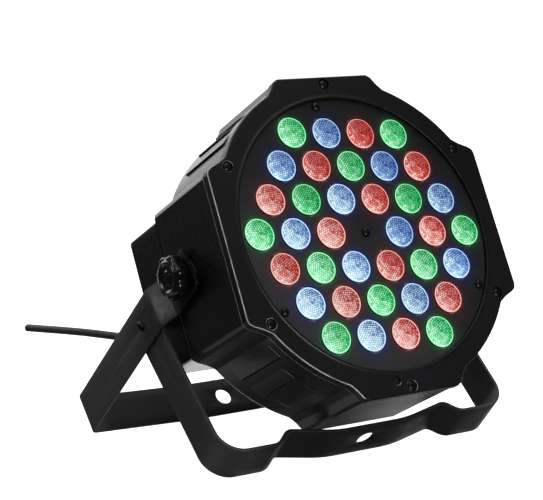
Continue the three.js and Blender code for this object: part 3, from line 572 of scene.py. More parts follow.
def merge(distance):
    return lambda bm: bmesh.ops.remove_doubles(bm, verts=bm.verts, dist=distance)


def face_outwards(bm):
    bmesh.ops.recalc_face_normals(bm, faces=bm.faces)


def build(name, shape, base=HEAD):
    """Object from (vertices in mm, faces)."""
    verts, faces = shape
    mesh = bpy.data.meshes.new(name)
    mesh.from_pydata([(x * MM, y * MM, z * MM) for x, y, z in verts], [], faces)
    edit(mesh, merge(1e-7), face_outwards)
    return place(name, mesh, base)


def tool(rings, base=HEAD, closed=False):
    return build("tool", loft(rings, closed), base)


def discard(obj):
    mesh = obj.data
    bpy.data.objects.remove(obj)
    bpy.data.meshes.remove(mesh)


def bake(obj):
    """Applies the modifiers."""
    bpy.context.view_layer.update()
    graph = bpy.context.evaluated_depsgraph_get()
    mesh = bpy.data.meshes.new_from_object(obj.evaluated_get(graph), preserve_all_data_layers=True,
                                           depsgraph=graph)
    old = obj.data
    obj.modifiers.clear()
    obj.data = mesh
    bpy.data.meshes.remove(old)


def join(objs):
    """One object from several, in the first one's frame."""
    first = objs[0]
    if len(objs) == 1:
        return first
    bm = bmesh.new()
    inverse = first.matrix_world.inverted()
    for obj in objs:
        part = obj.data.copy()
        part.transform(inverse @ obj.matrix_world)
        bm.from_mesh(part)
        bpy.data.meshes.remove(part)
    bm.to_mesh(first.data)
    bm.free()
    for obj in objs[1:]:
        discard(obj)
    return first


def boolean(body, tools, operation):
    joined = join(tools)
    modifier = body.modifiers.new("cut", "BOOLEAN")
    modifier.operation, modifier.object, modifier.solver = operation, joined, "EXACT"
    bake(body)
    discard(joined)
    edit(body.data, merge(2e-6),
         lambda bm: bmesh.ops.dissolve_degenerate(bm, edges=bm.edges, dist=2e-6))


def cut(body, *tools):
    boolean(body, tools, "DIFFERENCE")


def unite(body, *tools):
    boolean(body, tools, "UNION")


def bevel(obj, width, angle, miter="MITER_ARC"):
    modifier = obj.modifiers.new("bevel", "BEVEL")
    modifier.width, modifier.segments = width * MM, 2
    modifier.limit_method, modifier.angle_limit = "ANGLE", angle * DEG
    modifier.use_clamp_overlap = True
    modifier.miter_outer = miter
    bake(obj)


def piece(obj, body, slot, *stands_for, smooth=38, look=None, weighted=False):
    """Gives an object its material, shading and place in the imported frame."""
    mesh = obj.data
    mesh.materials.clear()
    mesh.materials.append(look or MAT[slot])
    for polygon in mesh.polygons:
        polygon.use_smooth = True
    mesh.set_sharp_from_angle(angle=smooth * DEG)
    if weighted:
        modifier = obj.modifiers.new("wn", "WEIGHTED_NORMAL")
        modifier.keep_sharp, modifier.weight = True, 90
        bake(obj)
    if body:
        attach(obj, body)
    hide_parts(*stands_for)


def quad(ring_a, ring_b, k, count):
    """Face k of the band between two rings of count points."""
    a, b, j = ring_a * count, ring_b * count, (k + 1) % count
    return (a + k, a + j, b + j, b + k)


def loft(rings, closed=False):
    """Skin over rings; either capped, or closed from the last ring to the first."""
    n, m = len(rings[0]), len(rings)
    verts = [point for ring in rings for point in ring]
    faces = [quad(i, (i + 1) % m, k, n) for i in range(m if closed else m - 1) for k in range(n)]
    if not closed:
        faces.append(tuple(range(n))[::-1])
        faces.append(tuple((m - 1) * n + k for k in range(n)))
    return verts, faces


def level(outline, z):
    return [(x, y, z) for x, y in outline]


def circle(radius, z, count, cx=0.0, cy=0.0):
    return level([polar(radius, 2 * math.pi * i / count, cx, cy) for i in range(count)], z)


def cylinder(radius, low, high, count, cx=0.0, cy=0.0, base=HEAD):
    return tool([circle(radius, z, count, cx, cy) for z in (low, high)], base)


def turned(name, profile, count, cx=0.0, cy=0.0, base=HEAD):
    """Turned body from (radius, z) points; a profile that ends where it starts is a ring."""
    rings = [circle(r, z, count, cx, cy) for r, z in profile]
    closed = profile[0] == profile[-1]
    return build(name, loft(rings[:-1] if closed else rings, closed), base)


def corner(before, point, after, trim, share, steps):
    """Quadratic curve in place of a corner; trim is limited to a share of each side."""
    la, lb = math.dist(before, point), math.dist(after, point)
    trim = min(trim, la * share, lb * share)
    start = [p + (a - p) / la * trim for p, a in zip(point, before)]
    end = [p + (b - p) / lb * trim for p, b in zip(point, after)]
    return [tuple((1 - u) ** 2 * s + 2 * u * (1 - u) * p + u * u * e
                  for s, p, e in zip(start, point, end))
            for u in (k / steps for k in range(steps + 1))]


def round_path(points, trims, share=0.48, steps=4):
    """Rounds the corners of an open path by one trim or one per point."""
    if not isinstance(trims, list):
        trims = [trims] * len(points)
    out = []
    for i, p in enumerate(points):
        if i in (0, len(points) - 1) or trims[i] <= 0:
            out.append(p)
        else:
            out += corner(points[i - 1], p, points[i + 1], trims[i], share, steps)
    return out


def round_outline(points, trim):
    """Rounds the corners of a closed outline and leaves nearly straight ones."""
    out = []
    for i, p in enumerate(points):
        a, b = points[i - 1], points[(i + 1) % len(points)]
        dot = (p[0] - a[0]) * (b[0] - p[0]) + (p[1] - a[1]) * (b[1] - p[1])
        if dot / (math.dist(a, p) * math.dist(b, p)) > 0.996:
            out.append(p)
        else:
            out += corner(a, p, b, trim, 0.45, 3)
    return out


def miter(edge_a, edge_b):
    """Sum of the right-hand normals of two edges, and the divisor that mitres it."""
    la, lb = math.hypot(*edge_a), math.hypot(*edge_b)
    ax, ay, bx, by = edge_a[1] / la, -edge_a[0] / la, edge_b[1] / lb, -edge_b[0] / lb
    return ax + bx, ay + by, 1 + ax * bx + ay * by


def offset(points, distance):
    out = []
    for i, p in enumerate(points):
        a, b = points[i - 1], points[(i + 1) % len(points)]
        nx, ny, divisor = miter((p[0] - a[0], p[1] - a[1]), (b[0] - p[0], b[1] - p[1]))
        k = distance / divisor
        out.append((p[0] + nx * k, p[1] + ny * k))
    return out


def mirrored(quarter):
    """Full outline from its quarter at +x +y."""
    return (list(quarter) + [(-x, y) for x, y in reversed(quarter)]
            + [(-x, -y) for x, y in quarter] + [(x, -y) for x, y in reversed(quarter)])


def densify(points, step=6.0, hold=0.0):
    """Splits long sides; hold adds points that far from both ends of a side."""
    out = []
    for i, p in enumerate(points):
        q = points[(i + 1) % len(points)]
        length = math.dist(p, q)
        count = max(1, int(length / step))
        stops = [j / count for j in range(count)]
        if hold and length > 3.4:
            stops = sorted(stops + [hold / length, 1 - hold / length])
        out += [(p[0] + (q[0] - p[0]) * t, p[1] + (q[1] - p[1]) * t) for t in stops]
    return out


def at_angles(outline, angles):
    """The points of a star-shaped outline at the given angles."""
    out = []
    for angle in angles:
        dx, dy = math.cos(angle), math.sin(angle)
        best = None
        for i, p in enumerate(outline):
            q = outline[(i + 1) % len(outline)]
            ex, ey = q[0] - p[0], q[1] - p[1]
            det = dx * -ey + dy * ex
            if abs(det) < 1e-12:
                continue
            t = (p[0] * -ey + p[1] * ex) / det
            u = (dx * p[1] - dy * p[0]) / det
            if t > 0 and -1e-6 <= u <= 1 + 1e-6:
                best = t if best is None else max(best, t)
        out.append((dx * best, dy * best))
    return out


def slot_tool(cx, cy, length, width, low, high):
    """Slot along x with round ends."""
    r, h = width / 2, length / 2 - width / 2
    points = []
    for side, start in ((1, -90), (-1, 90)):
        for k in range(9):
            x, y = polar(r, (start + 180 * k / 8) * DEG, side * h)
            points.append((cx + x, cy + y))
    return tool([level(points, low), level(points, high)])


def rounded_rect(cx, cy, width, height, r):
    return [polar(r, (start + 90 * k / 5) * DEG,
                  cx + sx * (width / 2 - r), cy + sy * (height / 2 - r))
            for (sx, sy), start in zip(QUADRANTS, (0, 90, 180, 270)) for k in range(6)]


def block(name, cx, cy, width, height, r, low, high, edge=0.3, base=HEAD):
    """Rounded rectangle with softened top and bottom edges."""
    outline = rounded_rect(cx, cy, width, height, r)
    softened = [(edge, 0), (edge * 0.3, edge * 0.3), (0, edge)]
    rings = [level(offset(outline, -inset), low + rise) for inset, rise in softened]
    rings += [level(offset(outline, -inset), high - rise) for inset, rise in softened[::-1]]
    return build(name, loft(rings), base)


def side_frame(x, side):
    """Frame at the pivot height whose z runs outwards along x."""
    return HEAD @ shift(x, 0, PIVOT_Z) @ turn(side * 90, "Y")


# --------------------------------------------------------------- outlines
def face_outline():
    """Round face with flat sides and a raised flat at the top and the bottom."""
    quarter = [(SIDE_X, 41.2), (SIDE_X - 0.9, 43.6), (SIDE_X - 3.4, 45.3), (SIDE_X - 9.4, 47.9)]
    quarter += [polar(FACE_R, (32.8 + i * 2) * DEG) for i in range(17)]
    quarter += [(36.4, 88), (33.4, 92.6), (30.6, TOP_Y)]
    return densify(round_outline(mirrored(quarter), 0.5), hold=0.5)


def back_outline(grow=0.0):
    """Circle with a wide box across it, a little deeper below than above."""
    r, box_x = 70.0 + grow, 91.2 + grow

    def quarter(box_y):
        start = math.asin((box_y + 0.01) / r) / DEG
        points = [(box_x, box_y - 2.2), (box_x - 0.65, box_y - 0.65), (box_x - 2.2, box_y)]
        return points + [polar(r, (start + (90 - start) * i / 24.5) * DEG) for i in range(25)]

    top, low = mirrored(quarter(40.0 + grow)), mirrored(quarter(42.0 + grow))
    return densify(top[:len(top) // 2] + low[len(low) // 2:])


FACE = face_outline()
FACE_ANGLES = [math.atan2(y, x) for x, y in FACE]

# ---------------------------------------------------------------- bezel
# (inset from the face outline, z), from the rear edge round to the front
BEZEL_RIM = [(2.0, -4.5), (0.55, -4.5), (0.20, -4.38), (0.04, -4.1), (0.0, -3.8), (0.0, 0.55),
             (0.06, 0.95), (0.27, 1.26), (0.6, 1.44), (1.0, 1.5)]
# (radius, z), over the bead round the opening and back inside
BEZEL_LIP = [(84.4, 1.5), (82.9, 1.51), (82.55, 1.60), (82.3, 1.78), (81.9, 1.86), (81.3, 1.88),
             (80.95, 1.82), (80.72, 1.62), (80.62, 1.3), (80.6, 0.0), (80.6, -0.1),
             (83.4, -0.1), (83.4, -4.5), (85.1, -4.5), (85.1, -1.0)]
SCREW_SEAT = [(0.02, 6), (3.5, 6), (3.5, 1.5), (3.15, 1.15), (3.15, -0.6), (0.02, -0.6)]
DIMPLE = [(0.02, 4), (2.8, 4), (2.8, 1.5), (2.45, 1.2), (2.4, -0.55), (0.02, -0.8)]

rings = [level(offset(FACE, -inset), z) for inset, z in BEZEL_RIM]
rings += [level([polar(r, a) for a in FACE_ANGLES], z) for r, z in BEZEL_LIP]
rings.append(level(offset(FACE, -2.0), -1.0))
bezel = build("front_bezel_shell", loft(rings, closed=True))
cut(bezel, *[turned("tool", SCREW_SEAT, 28, x, y) for x, y in BEZEL_SCREWS])
cut(bezel, *[cylinder(1.8, -6, 0.5, 20, x, y) for x, y in BEZEL_SCREWS],
    turned("tool", DIMPLE, 28, -9.2, -85.9))
piece(bezel, "head", "bezel_black", "front_bezel", smooth=32, weighted=True)


# ---------------------------------------------------------------- front plate
GLOW_RINGS = (10.35, 10.75, 11.2, 11.48)  # extra vertices round each lamp


def glow_at(x, y):
    """Light spilled by the lamps near a point; 9.6 is where it starts to fade."""
    color = [0.0, 0.0, 0.0]
    for _, _, letter, cx, cy in LEDS:
        d = math.hypot(x - cx, y - cy)
        if d < 15:
            gap = max(0.0, d - 9.6)
            weight = math.exp(-gap / 0.95) + 0.05 * math.exp(-gap / 3.0)
            for i, value in enumerate(LAMPS[letter][3]):
                color[i] += value * weight
    return [*color, 1.0]


def glow_points(outer_r):
    """Vertices that carry the glow: rings at the lamps and a sparse field between."""
    points = []
    for _, _, _, cx, cy in LEDS:
        for k, r in enumerate(GLOW_RINGS):
            points += [Vector(polar(r, 2 * math.pi * (i + 0.5 * (k % 2)) / 48, cx, cy))
                       for i in range(48)]
    for k in range(1, 9):
        for i in range(12 * k):
            p = Vector(polar(9.6 * k, 2 * math.pi * (i + 0.31) / (12 * k)))
            clear = all((p - Vector((cx, cy))).length > 12.0 for _, _, _, cx, cy in LEDS)
            if clear and p.length < outer_r - 2:
                points.append(p)
    return points


def punched_plate(name, outer_r, holes, low, high, glow=False):
    """A round plate with holes of (radius, x, y, vertex count)."""
    points, edges = [], []
    for r, cx, cy, count in [(outer_r, 0, 0, 200), *holes]:
        first = len(points)
        points += [Vector(polar(r, 2 * math.pi * i / count, cx, cy)) for i in range(count)]
        edges += [(first + i, first + (i + 1) % count) for i in range(count)]
    if glow:
        points += glow_points(outer_r)
    verts, _, triangles, _, _, _ = delaunay_2d_cdt(points, edges, [], 0, 1e-4)

    bm = bmesh.new()
    bm_verts = [bm.verts.new((p.x * MM, p.y * MM, high * MM)) for p in verts]
    for triangle in triangles:
        c = sum((verts[i] for i in triangle), Vector((0, 0))) / len(triangle)
        if c.length >= outer_r:
            continue
        if any((c - Vector((cx, cy))).length <= r * 0.999 for r, cx, cy, _ in holes):
            continue
        try:
            bm.faces.new([bm_verts[i] for i in triangle])
        except ValueError:
            # guards against a triangle that is listed twice or is degenerate
            pass
    bmesh.ops.delete(bm, geom=[v for v in bm.verts if not v.link_faces], context="VERTS")
    face_outwards(bm)
    if bm.faces[:][0].normal.z < 0:
        bmesh.ops.reverse_faces(bm, faces=bm.faces)
    extruded = bmesh.ops.extrude_face_region(bm, geom=bm.faces[:], use_keep_orig=True)
    moved = [item for item in extruded["geom"] if isinstance(item, bmesh.types.BMVert)]
    bmesh.ops.translate(bm, verts=moved, vec=(0, 0, (low - high) * MM))
    face_outwards(bm)
    mesh = bpy.data.meshes.new(name)
    bm.to_mesh(mesh)
    bm.free()
    if glow:
        attribute = mesh.attributes.new("glow", "FLOAT_COLOR", "POINT")
        attribute.data.foreach_set("color", [value for vert in mesh.vertices
                                             for value in glow_at(vert.co.x / MM, vert.co.y / MM)])
    return place(name, mesh, HEAD)


holes = [(10.0, x, y, 48) for _, _, _, x, y in LEDS]
holes += [(1.8, x, y, 16) for x, y in PLATE_SCREWS + [(0, 0)]]
plate = punched_plate("front_plate_punched", 83.1, holes, -2.0, -0.4, glow=True)
piece(plate, "head", "plate_black", "front_plate", smooth=40)

holes = [(9.0, x, y, 32) for _, _, _, x, y in LEDS]
holes += [(2.9, x, y, 16) for x, y in PLATE_SCREWS] + [(2.2, 0, 0, 16)]
web = punched_plate("lens_web", 80.6, holes, -4.0, -2.6)
piece(web, "head", "lens_clear", "lens_array")

# ---------------------------------------------------------------- lenses
BEAD_PITCH, BEAD_HEIGHT = 1.45, 0.26
DOME_R, DOME_EDGE = 34.0, 8.75
# (radius, z) of the rim, the flank and the cone behind it
LENS_RIM = ((8.80, 0.02), (8.88, 0.15), (9.02, 0.2), (9.17, 0.12), (9.27, -0.08),
            (LENS_R, -0.4), (LENS_R, -3.4), (3.8, -11.0), (1.5, -11.0))


def bead_at(x, y):
    """Height 0 to 1 of the nearest bead of a hexagonal grid, and that bead's own number."""
    row_pitch = BEAD_PITCH * 0.8660254
    best = 9.0
    middle = round(y / row_pitch)
    for j in (middle - 1, middle, middle + 1):
        stagger = 0.5 * BEAD_PITCH if j % 2 else 0.0
        nearest = round((x - stagger) / BEAD_PITCH)
        for i in (nearest - 1, nearest, nearest + 1):
            dx, dy = x - (i * BEAD_PITCH + stagger), y - j * BEAD_PITCH * 0.8660254
            if dx * dx + dy * dy < best:
                best, key = dx * dx + dy * dy, (i, j)
    u = min(1.0, math.sqrt(best) / (BEAD_PITCH * 0.53))
    number = math.sin(key[0] * 127.1 + key[1] * 311.7) * 43758.5453
    return math.sqrt(max(0.0, 1 - u * u)), number - math.floor(number)


def lens_mesh():
    """Domed disc of beads with a rim and a cone behind."""
    count, middle_r = 168, 0.03
    rings, bead, cell = [], [], []
    for k in range(53):
        r = middle_r + (DOME_EDGE - middle_r) * k / 52
        dome = math.sqrt(DOME_R * DOME_R - r * r) - math.sqrt(DOME_R**2 - DOME_EDGE**2)
        fade = min(1.0, max(0.0, (DOME_EDGE - r) / 0.35))
        ring = []
        for x, y, _ in circle(r, 0, count):
            height, number = bead_at(x, y)
            ring.append((x, y, -0.15 + dome + BEAD_HEIGHT * height * fade))
            bead.append(height if fade > 0.2 else 1.0)
            cell.append(number)
        rings.append(ring)
    for r, z in LENS_RIM:
        rings.append(circle(r, z, count))
        bead += [1.0] * count
        cell += [0.5] * count
    verts, faces = loft(rings)
    mesh = bpy.data.meshes.new("lens")
    mesh.from_pydata([(x * MM * LENS_FIT, y * MM * LENS_FIT, z * MM) for x, y, z in verts],
                     [], faces)
    for name, values in (("bead", bead), ("cell", cell)):
        mesh.attributes.new(name, "FLOAT", "POINT").data.foreach_set("value", values)
    edit(mesh, face_outwards)
    for polygon in mesh.polygons:
        polygon.use_smooth = True
    mesh.set_sharp_from_angle(angle=50 * DEG)
    mesh.attributes.new("sheen_tone", "FLOAT", "POINT")
    return mesh


first_lens = lens_mesh()
for i, (row, column, letter, x, y) in enumerate(LEDS):
    mesh = first_lens if i == 0 else first_lens.copy()
    mesh.materials.clear()
    mesh.materials.append(LENS[letter])
    # painted sheen: the lamps are paler towards the lower left of the face, plus a tone that differs from lamp to
    # lamp
    sheen_tone = 0.5 + (-0.55 * x - 0.75 * y) / 150.0 + 0.22 * math.sin(i * 2.3 + 0.7)
    sheen_tones = [max(0.0, min(1.0, sheen_tone))] * len(mesh.vertices)
    mesh.attributes["sheen_tone"].data.foreach_set("value", sheen_tones)
    lens = place("lens_r%d_%d" % (row, column), mesh, HEAD @ shift(x, y))
    # each lens sits at its own turn in the web; the first is not turned
    mesh.transform(turn((i * 47) % 60, "Z"))
    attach(lens, "head")
    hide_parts("lens_array")


# ---------------------------------------------------------------- screws
def screw_mesh(name, head_r, head_h, shank_r, length):
    """Pan head with a cross recess, thread below; head seat at z 0, up is +z."""
    z, pitch = -length + shank_r, 0.5
    profile = [(0.02, -length), (shank_r * 0.6, -length), (shank_r, z)]
    while z < -1.2:
        profile += [(shank_r * 0.80, z + pitch * 0.5), (shank_r, z + pitch)]
        z += pitch
    profile.append((shank_r * 0.85, -0.2))
    # (share of the head radius, share of the head height)
    head = ((0.96, 0.0), (1, 0.10), (0.985, 0.38), (0.93, 0.62), (0.80, 0.83), (0.6, 0.95),
            (0.35, 0.995))
    profile += [(head_r * r, head_h * h) for r, h in head] + [(0.02, head_h)]
    screw = turned(name, profile, 24, base=Matrix.Identity(4))
    w, reach = head_r * 0.105, head_r * 0.58

    def bar(along, across, z):
        return level([(along, -across), (along, across), (-along, across), (-along, -across)], z)

    for degrees in (0, 90):
        rings = [bar(reach * 0.5, w * 0.7, head_h - head_h * 0.62), bar(reach, w, head_h * 1.2)]
        cut(screw, tool(rings, turn(degrees, "Z")))
    return screw


def screws(prefix, places, z, stands_for, flip=False, first_turn=0, **sizes):
    """A row of equal screws, each with its own turn; flip points the heads backwards."""
    source = screw_mesh(prefix + "src", **sizes)
    for i, (x, y) in enumerate(places):
        base = HEAD @ shift(x, y, z)
        if flip:
            base = base @ turn(180, "X")
        base = base @ turn(first_turn + 37 * i, "Z")
        screw = place("%s_%d" % (prefix, i + 1), source.data.copy(), base)
        piece(screw, "head", "screw_black", stands_for[i], smooth=30)
    discard(source)


def numbered(name, count):
    return ["%s_%d" % (name, i + 1) for i in range(count)]


screws("bezel_panhead", BEZEL_SCREWS, -0.3, numbered("bezel_screw", 6),
       head_r=2.75, head_h=1.6, shank_r=1.3, length=19.5)
screws("plate_panhead", PLATE_SCREWS + [(0.0, 0.0)], -0.15,
       numbered("plate_screw", 3) + ["centre_screw"], first_turn=15,
       head_r=2.7, head_h=1.5, shank_r=1.2, length=17.2)
screws("cover_panhead", REAR_SCREWS, SHELL_REAR - 4.6, numbered("rear_cover_screw", 4), flip=True,
       head_r=3.1, head_h=2.0, shank_r=1.3, length=14.5)
screws("fan_panhead", FAN_SCREWS, BACK_Z - 0.3, numbered("fan_screw", 4), flip=True,
       head_r=2.8, head_h=1.4, shank_r=1.3, length=14.0)

# ---------------------------------------------------------------- housing
WALL_Z = (-5.15, -8.0, -11.0, -15.0, -19.5, -22.0, -27.0, -32.0, -37.0, -42.0, -46.0, -50.0,
          -53.5, -54.0, -58.0, -61.5, -64.6)
WALL_FRONT, LEDGE_Z = -4.8, -64.1


def louver_openings():
    """(first angle, last angle, rear z, front z) of the slots under the hoods."""
    openings = []
    for quadrant in range(4):
        for lip, rear, front in LOUVERS:
            a, b = (lip - 0.5, lip + 1.1) if quadrant < 2 else (lip - 1.9, lip - 0.3)
            if quadrant % 2:
                a, b = 90 - b, 90 - a
            openings.append(((a + 90 * quadrant) * DEG, (b + 90 * quadrant) * DEG,
                             rear + 1, front - 1))
    return openings


OPENINGS = louver_openings()
slot_edges = [edge for opening in OPENINGS for edge in opening[:2]]
wall_angles = [a % (2 * math.pi) for a in FACE_ANGLES]
wall_angles = [a for a in wall_angles if not any(abs(a - e) < 0.004 for e in slot_edges)]
wall_angles = sorted(set(wall_angles + slot_edges))


def wall(inset):
    return at_angles(offset(FACE, -inset), wall_angles)


def is_open(k, zi):
    """Is the cell after angle k and wall level zi in a slot?"""
    if not 0 <= zi < len(WALL_Z) - 1:
        return False
    count = len(wall_angles)
    a, b = wall_angles[k % count], wall_angles[(k + 1) % count]
    front, rear = WALL_Z[zi], WALL_Z[zi + 1]
    return any(a > first - 1e-6 and b < last + 1e-6 and b > a
               and rear > low - 1e-6 and front < high + 1e-6
               for first, last, low, high in OPENINGS)


def housing_shape():
    """Wall with slots, rounded to a rear ledge round the opening for the cover."""
    outer, inner = wall(0.6), wall(2.8)
    opening = at_angles(back_outline(-4.5), wall_angles)
    rings = [level(wall(0.9), WALL_FRONT), level(wall(0.66), -4.92)]
    first_out = len(rings)
    rings += [level(outer, z) for z in WALL_Z]
    rings += [level(wall(inset), z)
              for inset, z in ((0.68, -65.3), (0.95, -65.9), (1.45, -66.35), (2.0, SHELL_REAR))]
    rings += [level(opening, SHELL_REAR), level(opening, LEDGE_Z), level(inner, LEDGE_Z)]
    first_in = len(rings)
    rings += [level(inner, z) for z in WALL_Z[-2:0:-1]]
    rings.append(level(inner, WALL_FRONT))

    n, m, last_level = len(wall_angles), len(rings), len(WALL_Z) - 1
    faces = []
    for i in range(m):
        for k in range(n):
            if first_out <= i < first_out + last_level and is_open(k, i - first_out):
                continue
            if first_in <= i < m - 2 and is_open(k, last_level - 2 - (i - first_in)):
                continue
            faces.append(quad(i, (i + 1) % m, k, n))
    # the sides of the slots through the wall
    for zi in range(last_level):
        out_a, in_a = first_out + zi, first_in + last_level - 1 - zi
        out_b, in_b = out_a + 1, in_a - 1
        for k in range(n):
            if not is_open(k, zi):
                continue
            j = (k + 1) % n
            corners = [ring * n for ring in (out_a, out_b, in_b, in_a)]
            if not is_open(k - 1, zi):
                faces.append(tuple(c + k for c in corners))
            if not is_open(j, zi):
                faces.append(tuple(c + j for c in corners))
            if not is_open(k, zi - 1):
                faces.append(quad(out_a, in_a, k, n))
            if not is_open(k, zi + 1):
                faces.append(quad(out_b, in_b, k, n))
    return [point for ring in rings for point in ring], faces


def hood(lip_angle, rear, front, qx, qy):
    """Raised louver: lip over the slot, then a long ramp back to the wall."""
    def at(r, degrees):
        # the lower hoods are flatter and face the other way
        if qy < 0:
            degrees = 2 * lip_angle - 0.8 - degrees
            r = 92.6 + (r - 92.6) * 0.55
        return (qx * r * math.cos(degrees * DEG), qy * r * math.sin(degrees * DEG))

    def along(*points):
        return [at(r, lip_angle + degrees) for r, degrees in points]

    top = along((93.45, 0), (93.66, 0.04), (93.77, 0.14), (93.78, 0.30))
    top += [at(93.66 - 1.55 * (t / 10) ** 1.05, lip_angle + 0.55 + 6.9 * t / 10)
            for t in range(11)]
    top += along((91.5, 7.6), (91.5, 4))
    end = top + along((91.5, 1.5), (91.5, 0.02), (92.3, 0))
    middle = top + along((91.5, 1.6), (92.95, 1.5), (93.05, 0))
    return tool([level(end, rear), level(end, rear + 0.9), level(middle, rear + 0.95),
                 level(middle, front - 0.95), level(end, front - 0.9), level(end, front)])


housing = build("main_housing_shell", housing_shape())
unite(housing, *[cylinder(9.2, -6, 11.0, 40, base=side_frame(80.5 * s, s)) for s in (-1, 1)])
cut(housing, *[cylinder(3.4, -20, 20, 24, base=side_frame(88 * s, s)) for s in (-1, 1)])
cut(housing, *[cylinder(1.65, -24, -3, 16, x, y) for x, y in BEZEL_SCREWS])
louvers = join([hood(*louver, qx, qy) for qx, qy in QUADRANTS for louver in LOUVERS])
louvers.name = "main_housing_louvers"
bevel(louvers, 0.12, 50)
piece(louvers, "head", "housing_black", "main_housing", smooth=30)
piece(housing, "head", "housing_black", "main_housing", smooth=34, weighted=True)

# ---------------------------------------------------------------- rear cover
COVER_FRONT = SHELL_REAR - 0.3
# (growth of the back outline, z), from the open front over the rear edge
COVER_OUTSIDE = [(0, COVER_FRONT), (0, BACK_Z + 1.7), (-0.13, BACK_Z + 1.05),
                 (-0.5, BACK_Z + 0.5), (-1.05, BACK_Z + 0.13), (-1.7, BACK_Z)]
COVER_INSIDE = [(-2.2, BACK_IN), (-2.2, COVER_FRONT)]
THROUGH = (BACK_Z - 5, BACK_IN + 2)
VENT_R, VENT_PITCH = 26, 5.4


def cover_shape():
    angles = [math.atan2(y, x) for x, y in back_outline()]
    rings = [level(at_angles(back_outline(grow), angles), z)
             for grow, z in COVER_OUTSIDE + COVER_INSIDE]
    n = len(angles)
    faces = [quad(i, i + 1, k, n) for i in range(5) for k in range(n)]
    faces += [tuple(ring * n + k for k in range(n)) for ring in (5, 6)]
    for k in range(n):
        faces += [quad(6, 7, k, n), quad(0, 7, k, n)]
    return [point for ring in rings for point in ring], faces


cover = build("rear_cover_shell", cover_shape())
unite(cover, *[cylinder(5.6, BACK_IN - 0.8, SHELL_REAR - 0.6, 28, x, y) for x, y in REAR_SCREWS])
cut(cover, *[cylinder(3.6, BACK_Z - 5, SHELL_REAR - 4.3, 28, x, y) for x, y in REAR_SCREWS])
cut(cover, *[cylinder(1.8, BACK_Z - 5, 0, 20, x, y) for x, y in REAR_SCREWS])
cuts = []
# vent slots, left and right of a rib down the middle of the fan
for i in range(-4, 5):
    half_chord = math.sqrt(VENT_R * VENT_R - (VENT_PITCH * i) ** 2)
    for side in (-1, 1):
        cuts.append(slot_tool(side * (1.5 + half_chord) / 2, FAN[1] + i * VENT_PITCH,
                              half_chord - 1.5, 2.8, BACK_Z - 3, BACK_IN + 2))
cuts += [cylinder(1.8, *THROUGH, 20, x, y) for x, y in sorted(FAN_SCREWS)]
cuts.append(tool([level(rounded_rect(*DISPLAY, 32.6, 14.6, 1.0), z) for z in THROUGH]))
cuts += [cylinder(3.5, *THROUGH, 28, x, BUTTON_Y) for x in BUTTON_X.values()]
cuts.append(cylinder(2.5, *THROUGH, 24, *MIC))
cuts += [cylinder(12.2, *THROUGH, 48, *centre) for centre in (DMX_IN, DMX_OUT)]
cuts.append(cylinder(6.4, *THROUGH, 32, *GLAND))
cut(cover, *cuts)
# a shallow groove frames the control area
groove_out = rounded_rect(0, -33, 64, 42, 3.5)
groove_in = rounded_rect(0, -33, 64 - 1.6, 42 - 1.6, 2.7)
cut(cover, tool([level(groove_out, BACK_Z - 1), level(groove_out, BACK_Z + 0.45),
                 level(groove_in, BACK_Z + 0.45), level(groove_in, BACK_Z - 1)], closed=True))
bevel(cover, 0.3, 50, miter="MITER_SHARP")
piece(cover, "head", "housing_black", "rear_cover", smooth=34, weighted=True)

# ---------------------------------------------------------------- fan
FAN_Z = BACK_IN + 0.3
FAN_TOP = FAN_Z + 12
STRUT_Z = FAN_Z + 10.4
# blade section: (place across the chord -1 to 1, height in mm)
BLADE = ((-1, 0.05), (-0.6, 0.55), (0, 0.65), (0.6, 0.5), (1, 0.05), (0.6, -0.4), (0, -0.35),
         (-0.6, -0.35))

fan = block("fan_frame_moulding", *FAN, 60, 60, 4, FAN_Z, FAN_TOP, 0.5)
cut(fan, cylinder(28, FAN_Z - 2, FAN_Z + 14, 72, *FAN))
struts = [block("tool", 19.5, 0, 20, 3, 0.8, STRUT_Z, FAN_TOP, 0.3, HEAD @ shift(*FAN) @ turn(a, "Z"))
          for a in (0, 90, 180, 270)]
hub = round_path([(0.02, STRUT_Z), (11, STRUT_Z), (11, FAN_TOP), (0.02, FAN_TOP)], 0.4)
for part in struts + [turned("tool", hub, 48, *FAN)]:
    unite(fan, part)
cut(fan, *[cylinder(1.6, FAN_Z - 2, FAN_Z + 14, 20, x, y) for x, y in sorted(FAN_SCREWS)])
piece(fan, "head", "fan_black", "fan_frame", smooth=34)


def blade_ring(number, u):
    """Section of a blade, u from 0 at the hub to 1 at the tip."""
    r = 11.5 + 15.3 * u
    twist = (52 - 18 * u) * DEG
    sweep, chord = 0.16 * u * u, 9.5 + 2.5 * u
    ring = []
    for s, height in BLADE:
        across, rise = s * chord / 2, 0.9 * (1 - s * s) + height
        lx = across * math.cos(twist) - rise * math.sin(twist)
        lz = across * math.sin(twist) + rise * math.cos(twist)
        x, y = polar(r, number * 2 * math.pi / 7 + sweep + lx / r, *FAN)
        ring.append((x, y, FAN_Z + 5.2 + max(-4.4, min(4.4, lz))))
    return ring


hub = [(0.02, FAN_Z + 0.6), (12, FAN_Z + 0.6), (12, FAN_Z + 9.9), (0.02, FAN_Z + 9.9)]
rotor = turned("fan_rotor_blades", round_path(hub, 0.8), 56, *FAN)
for i in range(7):
    unite(rotor, tool([blade_ring(i, k / 8) for k in range(9)]))
piece(rotor, "fan_rotor", "fan_black", "fan_rotor", smooth=40)


# ---------------------------------------------------------------- panel parts
def from_back(profile):
    """(radius, depth inside the back face) to (radius, z)."""
    return [(r, BACK_Z + depth) for r, depth in profile]


window = block("display_window_pane", *DISPLAY, 32, 14, 0.8, BACK_Z + 0.2, BACK_Z + 1.8, 0.35)
piece(window, "head", "window_smoke", "display_window")
display = block("display_block", *DISPLAY, 30, 12.4, 0.6, BACK_Z + 2.8, BACK_Z + 9.8)

